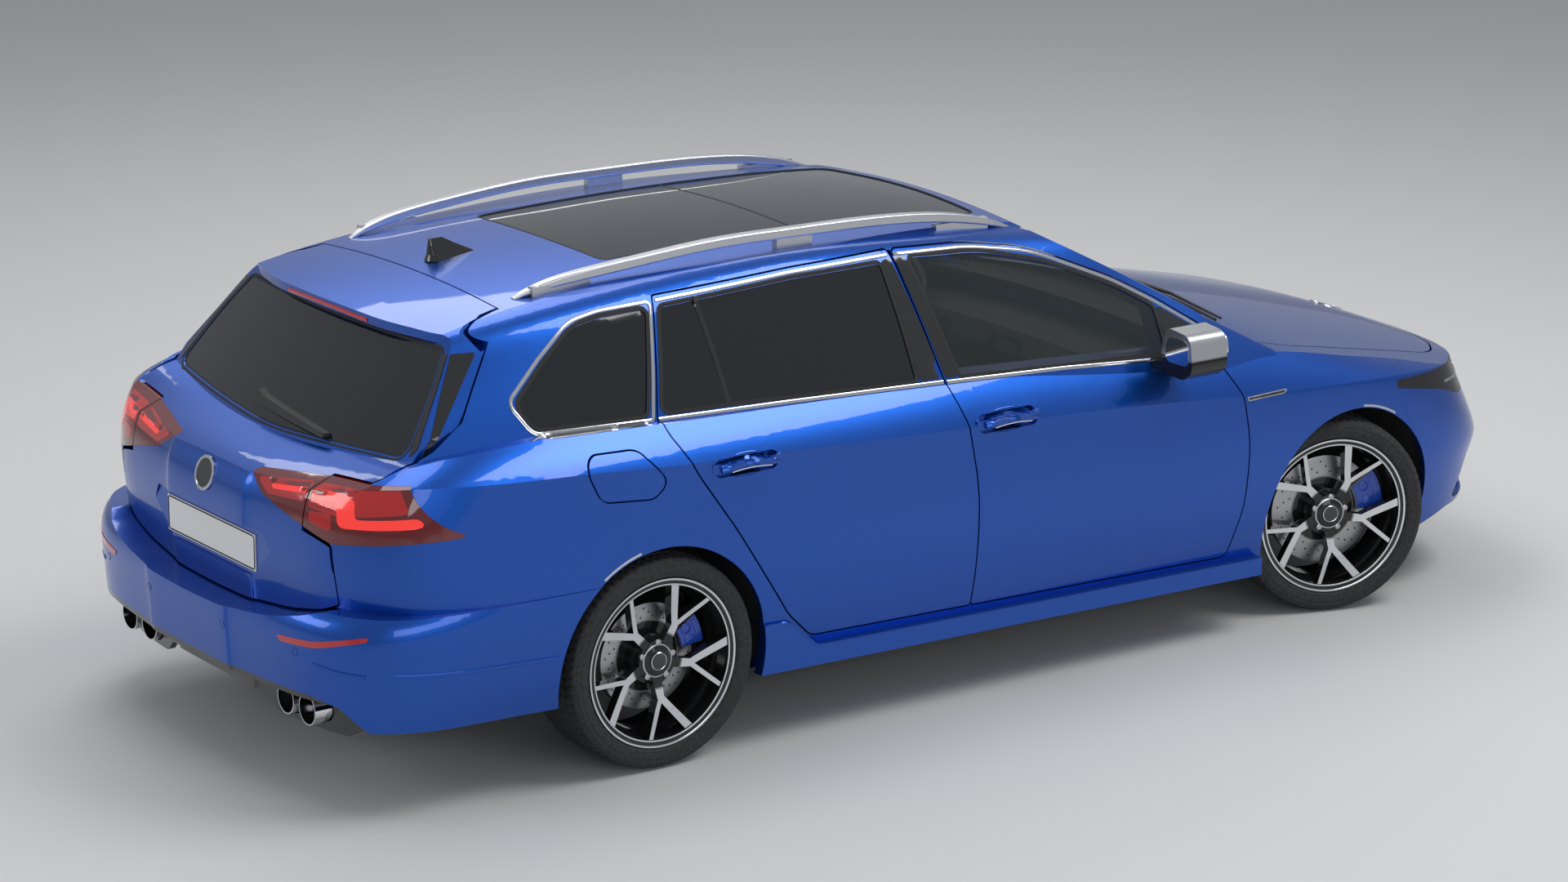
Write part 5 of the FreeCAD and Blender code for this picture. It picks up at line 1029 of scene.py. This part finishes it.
LIGHT_BAR = ((430, 690, 10), (640, 668, 60), (830, 690, 60))
PROJECTOR = [(0, -2.5), (12, -2.2), (20, -1.0), (23, 1.0)]
PROJECTOR_RIM = [(22, -1.4), (25, -2.2), (27, 0.5)]
PROJECTOR_YS = (500, 600, 700)
PROJECTOR_Z = 690
NOSE_BADGE_Z = 745
WIPERS = ((560, -90), (-60, -620))


def make_front():
    nose = Skin("front", "front_bumper", "front_grille", "headlamps", "fenders", "bonnet")
    for side, sign in SIDES:
        strip("light_bar_" + side, nose, for_side(LIGHT_BAR, sign), 9, 1.6, LENS_CLEAR)
        for k, y in enumerate(PROJECTOR_YS):
            place = on_skin(nose, sign * y, PROJECTOR_Z)
            lathe(f"projector_{k}_{side}", PROJECTOR, place, LENS_CLEAR, "body", 32)
            lathe(f"projector_rim_{k}_{side}", PROJECTOR_RIM, place, BRIGHT, "body", 32)
    strip("grille_line", nose, [(-392, 703), (0, 697, 2000), (392, 703)], 7, 2.0, BRIGHT)
    place = on_skin(nose, 0, NOSE_BADGE_Z)
    disc = [(0, -3.0), (48, -3.0), (50, -4.4), (56, -4.4), (58, -2.5), (58, 2)]
    lathe("blank_nose_badge", disc, place, BRIGHT, "body")
    lathe("blank_nose_badge_face", [(0, -3.4), (48, -3.4)], place, GLOSS_BLACK, "body")
    foot_glass = screen_sheet("windscreen_foot", 0.0, 1.0, 0.0, 4.0, CLEAR_GLASS)
    screen_sheet("windscreen_band", 0.62, 1.0, 0.9, 1.2, GLOSS_BLACK)
    for side, sign in SIDES:
        make_pillar_foot(side, sign)
    cowl = Skin("top", foot_glass, "windscreen", "cowl_panel")
    for k, (foot_y, tip_y) in enumerate(WIPERS):
        foot = cowl.at(1130, foot_y, 13)[0]
        tip = cowl.at(1082, tip_y, 17)[0]
        middle = foot.lerp(tip, 0.5) + Vector((0.006, 0, 0.012))
        tube(f"front_wiper_arm_{k}", [foot, middle, tip], [8, 6, 4], MATT_BLACK, 10)
        line = [(1092, foot_y - 40), (1066, tip_y)]
        strip(f"front_wiper_blade_{k}", cowl, line, 11, 9, RUBBER)


# Cabin

FRONT_SEAT_Y = 370.0
SEAT_WIDTH = 468.0
BENCH_HALF = 640.0
BENCH_BACK_HALF = 560.0
BENCH_SEAMS = (-420.0, -200.0, 200.0, 420.0)
BENCH_BACK_SEAMS = (-400.0, -190.0, 190.0, 400.0)
HEADREST_YS = (-360.0, 0.0, 360.0)
SEAT_CUSHION = ((-130, 300, 30), (400, 330, 60), (400, 450, 60), (-110, 420, 60))
SEAT_BACK = ((-120, 405, 30), (0, 430, 60), (-150, 1060, 60), (-260, 1060, 60), (-235, 700, 200))
SEAT_HEADREST = ((-185, 1085, 20), (-200, 1240, 30), (-275, 1240, 30), (-270, 1085, 20))
BENCH_CUSHION = ((-845, 250, 20), (-420, 290, 60), (-420, 470, 60), (-845, 430, 30))
BENCH_BACK = ((-905, 330, 20), (-780, 330, 20), (-780, 440, 60), (-905, 1060, 50), (-990, 1060, 50))
BENCH_HEADREST = ((-925, 1062, 20), (-940, 1200, 30), (-1000, 1200, 30), (-1000, 1062, 20))


CROWN_POWER = 5
CUSHION_SLICES = 46
SEAM_DEPTH = 5.0
SEAM_WIDTH = 3.2


def crown(t):
    """0 over most of a cushion's width and 1 at its ends."""
    return 1 - (1 - min(abs(t), 1.0) ** CROWN_POWER) ** 0.5


def cushion(name, outline, low, high, look, pull, seams, hollow=0.0, ribs=0.0):
    """Stuffed form from a side outline: round at its ends, drawn in at its seams."""
    line = spaced(rounded(outline), 16, True)
    count = len(line)
    ys = [low + (high - low) * (0.5 - 0.5 * math.cos(math.pi * k / CUSHION_SLICES))
          for k in range(CUSHION_SLICES + 1)]
    for seam in seams:
        ys += [seam - 6, seam - 3, seam, seam + 3, seam + 6]
    ys = sorted(set(round(y, 2) for y in ys if low <= y <= high))
    edge = max([abs(2 * (s - low) / (high - low) - 1) for s in seams] + [0.1])
    normals = normals_of(line, True)
    sign = 1 if (grown(line, 1.0)[0] - line[0]).dot(normals[0]) > 0 else -1
    points = []
    for y in ys:
        t = 2 * (y - low) / (high - low) - 1
        inset = pull * crown(t)
        inset += SEAM_DEPTH * sum(math.exp(-((y - s) / SEAM_WIDTH) ** 2) for s in seams)
        middle = max(0.0, 1 - (abs(t) / edge) ** 4)
        for k, (p, n) in enumerate(zip(line, normals)):
            wave = ribs * middle * (0.5 + 0.5 * math.cos(2 * math.pi * k / 5)) ** 3
            q = p - n * sign * (inset + hollow * middle + wave)
            points.append(Vector((q.x, y, q.y)) * MM)
    faces = ring_faces(len(ys), count)
    for row, out in ((0, -1), (len(ys) - 1, 1)):
        ring = range(row * count, (row + 1) * count)
        centre = sum((points[i] for i in ring), Vector()) / count
        first = len(points)
        points += [points[i].lerp(centre, 0.45) + Vector((0, 3 * out * MM, 0)) for i in ring]
        points.append(centre + Vector((0, 4 * out * MM, 0)))
        for k in range(count):
            after = (k + 1) % count
            caps = ((ring[k], ring[after], first + after, first + k),
                    (first + k, first + after, first + count))
            faces += [c if out > 0 else c[::-1] for c in caps]
    piece = build(name, points, faces, look, "body", 80)
    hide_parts("seats")


def make_front_seat(side, sign):
    y = sign * FRONT_SEAT_Y
    half = SEAT_WIDTH / 2
    seams = (y - half * 0.56, y + half * 0.56)
    cushion("seat_cushion_" + side, SEAT_CUSHION, y - half, y + half, CLOTH, 26, seams, 9, 3)
    cushion("seat_back_" + side, SEAT_BACK, y - half, y + half, CLOTH, 26, seams, 9, 3)
    cushion("seat_headrest_" + side, SEAT_HEADREST, y - 128, y + 128, LEATHER, 20, (y,))
    for k, across in enumerate((y - 53, y + 53)):
        rod_between(f"headrest_stem_{k}_{side}", (-232, across, 1040), (-230, across, 1100), 6)
    block("seat_base_" + side, (-110, y - half + 60, 212), (340, y + half - 60, 318), CABIN, 12)
    for k, across in enumerate((y - 150, y + 150)):
        block(f"seat_rail_{k}_{side}", (-140, across - 18, 207.5), (370, across + 18, 226), STEEL,
              3)


def make_bench():
    cushion("bench_cushion", BENCH_CUSHION, -BENCH_HALF, BENCH_HALF, CLOTH, 26, BENCH_SEAMS, 0, 2)
    cushion("bench_back", BENCH_BACK, -BENCH_BACK_HALF, BENCH_BACK_HALF, CLOTH, 24,
            BENCH_BACK_SEAMS, 0, 2)
    for k, y in enumerate(HEADREST_YS):
        cushion(f"bench_headrest_{k}", BENCH_HEADREST, y - 118, y + 118, LEATHER, 18, (y,))
        for j, across in enumerate((y - 50, y + 50)):
            rod_between(f"bench_stem_{k}_{j}", (-962, across, 1020), (-964, across, 1075), 5)
    for k, sign in enumerate((RIGHT, LEFT)):
        low, high = sorted((sign * 140, sign * 556))
        block(f"bench_plinth_{k}", (-890, low, 208), (-490, high, 292), CABIN, 10)


FRONT_CARD = ((-34, 330, 30), (-34, 640, 200), (-62, 860, 60), (-84, 962, 10), (690, 930, 10),
              (840, 860, 40), (920, 700, 100), (920, 420, 60), (870, 330, 40))
REAR_CARD = ((-140, 330, 20), (-690, 345, 40), (-790, 450, 150), (-880, 590, 200),
             (-1000, 750, 200), (-1080, 870, 60), (-1120, 1000, 10), (-190, 968, 10),
             (-165, 800, 100))
SPEAKER = [(0, -5), (60, -5), (68, -3), (78, -4.5), (82, -0.5)]
DOOR_INSIDES = (
    ("front", FRONT_CARD, ((180, 640), (700, 660)), ((560, 800), (690, 806)), (740, 430)),
    ("rear", REAR_CARD, ((-760, 680), (-260, 650)), ((-420, 810), (-300, 806)), (-300, 450)),
)
INNER_VIEW = {"right": "left", "left": "right"}


def make_door_cards(side):
    for end, outline, rest, grip, speaker in DOOR_INSIDES:
        body = f"{end}_door_{side}"
        tag = f"{end}_{side}"
        inner = Skin(INNER_VIEW[side], "door_" + tag, body=body)
        patch("door_card_" + tag, inner, outline, 4.0, CABIN, 0.5, 40)
        strip("arm_rest_" + tag, inner, rest, 62, 34, LEATHER)
        strip("inner_handle_" + tag, inner, grip, 22, 12, BRIGHT)
        lathe("speaker_" + tag, SPEAKER, on_skin(inner, *speaker, 4.0), MATT_BLACK, body, 40)


VENT_HALF = 42
VENT_LOW, VENT_HIGH = 742, 802
SLAT_STEP = 12
KNOB = [(0, 82), (24, 76), (26, 58), (20, 34), (30, 12), (26, 0)]
CUP_RING = [(30, 0.4), (33, 2.6), (37, 2.6), (39, 0.0)]


def make_dashboard():
    cover = Skin("top", "dashboard")
    rear = Skin("rear", "dashboard")
    for side, sign in SIDES:
        for k, y in enumerate((112, 640)):
            inner, outer = sign * (y - VENT_HALF), sign * (y + VENT_HALF)
            patch(f"vent_{k}_{side}", rear, rectangle(inner, VENT_LOW, outer, VENT_HIGH, 10), 2.0,
                  GLOSS_BLACK, 0.5, 20)
            for j in range(4):
                z = VENT_LOW + SLAT_STEP * (j + 1)
                line = for_side(((y - 34, z), (y + 34, z)), sign)
                strip(f"vent_slat_{k}_{j}_{side}", rear, line, 3, 4, BRIGHT)
    patch("centre_display", rear, rectangle(-128, 765, 70, 850, 12), 7.0, SCREEN, 0.5, 20)
    patch("instrument_display", rear, rectangle(250, 780, 490, 850, 14), 7.0, SCREEN, 0.5, 20)
    strip("dash_accent", rear, [(-640, 728), (640, 728)], 12, 3, BRIGHT)
    strip("glove_box_seam", rear, rectangle(-600, 640, -190, 705, 20), 2.4, 1.2, RUBBER, True)
    lathe("selector", KNOB, upright(cover.at(180, 0)[0]), LEATHER, "body", 32)
    for k, x in enumerate((90, 10)):
        lathe(f"cup_ring_{k}", CUP_RING, upright(cover.at(x, 0)[0]), BRIGHT, "body", 40)
    patch("centre_arm_rest", cover, rectangle(-315, -90, -40, 90, 20), 14, LEATHER, 0.5, 24)


STRUT_Y = 585
STRUT_TOP_Z = 807
STRUT_MOUNT = [(0, 3.5), (16, 3.5), (18, 1.5), (44, 1.5), (47, 0)]
STRUT_NUT = [(0, 7), (7, 7), (8, 6), (8, 0)]
STRUT_NUT_RADIUS = 33
COVER_HALF = 210
COVER_RISE = 26


def make_engine_bay():
    low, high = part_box("engine_block")
    top = high.z / MM
    x0, x1 = low.x / MM + 30, high.x / MM - 30
    block("engine_cover", (x0, -COVER_HALF, top - 2), (x1, COVER_HALF, top + COVER_RISE),
          MATT_BLACK, 14)
    for k in range(5):
        y = -140 + 70 * k
        block(f"cover_rib_{k}", (x0 + 40, y - 7, top + COVER_RISE - 2),
              (x1 - 90, y + 7, top + COVER_RISE + 5), GLOSS_BLACK, 3)
    lathe("oil_cap", [(0, 16), (20, 16), (24, 12), (26, 0)],
          upright(Vector((x1 - 45, 130, top + COVER_RISE - 1)) * MM), RUBBER, "body", 24)
    for side, sign in SIDES:
        centre = Vector((FRONT_AXLE_X, sign * STRUT_Y, STRUT_TOP_Z))
        lathe("strut_mount_" + side, STRUT_MOUNT, upright(centre * MM), STEEL, "body", 36)
        for k in range(3):
            u, v = polar(STRUT_NUT_RADIUS, 90 + 120 * k)
            at = upright((centre + Vector((u, v, 1))) * MM)
            lathe(f"strut_nut_{k}_{side}", STRUT_NUT, at, CAST, "body", 6)


def make_inside():
    for side, sign in SIDES:
        make_front_seat(side, sign)
        make_door_cards(side)
    make_bench()
    make_dashboard()
    make_engine_bay()


PIPE_STEEL = {"colour": (0.22, 0.21, 0.20), "roughness": 0.5, "metallic": 0.9}
TIP_CHROME = {"colour": (0.82, 0.82, 0.84), "roughness": 0.08, "metallic": 1.0}


def make_outside():
    dress("exhaust", two_tone("exhaust_finish", PIPE_STEEL, TIP_CHROME, -2.085, 0.002, "X"))
    for side, sign in SIDES:
        make_window_trim(side)
        make_mirror(side, sign)
        make_handles(side)
        make_side_details(side)
    make_tail()
    make_roof()
    make_front()


# Floor, lights and camera

def make_stage():
    pale = grained(material("floor", (0.60, 0.60, 0.60), 0.85), 40, 0.1)
    bpy.ops.mesh.primitive_plane_add(size=80, location=(0, 0, 0))
    floor = bpy.context.object
    floor.name = "floor"
    floor.data.materials.append(pale)
    world = bpy.data.worlds.new("studio")
    world.use_nodes = True
    sky = world.node_tree.nodes["Background"]
    sky.inputs["Color"].default_value = (0.82, 0.86, 0.92, 1)
    sky.inputs["Strength"].default_value = 0.42
    bpy.context.scene.world = world


def area(name, at, target, size, power, colour=(1, 1, 1)):
    lamp = bpy.data.lights.new(name, "AREA")
    lamp.shape = "RECTANGLE"
    lamp.size, lamp.size_y = size
    lamp.energy = power
    lamp.color = colour
    holder = linked(name, lamp)
    holder.location = at
    holder.rotation_euler = (Vector(target) - Vector(at)).to_track_quat("-Z", "Y").to_euler()


def make_lights():
    area("key", (3.5, -3.5, 7.5), (0, 0, 0.4), (5, 3.5), 330, (1.0, 0.98, 0.95))
    area("over", (-1.0, 1.5, 6.5), (0, 0, 0.8), (7, 2.5), 150)
    area("side", (-2.0, -9.0, 3.0), (0, 0, 0.6), (9, 2.2), 150, (0.95, 0.97, 1.0))
    area("back", (-8.0, 3.0, 3.5), (0, 0, 0.7), (4, 2.2), 90)
    area("far", (2.5, 6.0, 6.5), (0, 0, 0.6), (7, 2), 130)


CAMERA_AT = (-8.2388, -11.2085, 4.4947)
CAMERA_AZIMUTH = -35.721
CAMERA_ELEVATION = 15.661
CAMERA_ROLL = 0.28
CAMERA_FOCAL_PIXELS = 5548.1
PICTURE_WIDTH = 1920
SENSOR = 36.0


def make_camera():
    lens = bpy.data.cameras.new("photo")
    lens.sensor_width = SENSOR
    lens.lens = CAMERA_FOCAL_PIXELS * SENSOR / PICTURE_WIDTH
    lens.clip_end = 200
    camera = linked("photo", lens)
    azimuth = math.radians(CAMERA_AZIMUTH)
    elevation = math.radians(CAMERA_ELEVATION)
    back = Vector((math.sin(azimuth) * math.cos(elevation),
                   -math.cos(azimuth) * math.cos(elevation), math.sin(elevation)))
    right = Vector((0, 0, 1)).cross(back).normalized()
    up = back.cross(right)
    roll = math.radians(CAMERA_ROLL)
    across = right * math.cos(roll) + up * math.sin(roll)
    rise = up * math.cos(roll) - right * math.sin(roll)
    aimed = Matrix((across, rise, back)).transposed().to_4x4()
    camera.matrix_world = Matrix.Translation(CAMERA_AT) @ aimed
    bpy.context.scene.camera = camera


dress_frame()
make_wheels()
make_outside()
make_inside()
make_stage()
make_lights()
make_camera()
bpy.context.scene.view_settings.view_transform = "Standard"
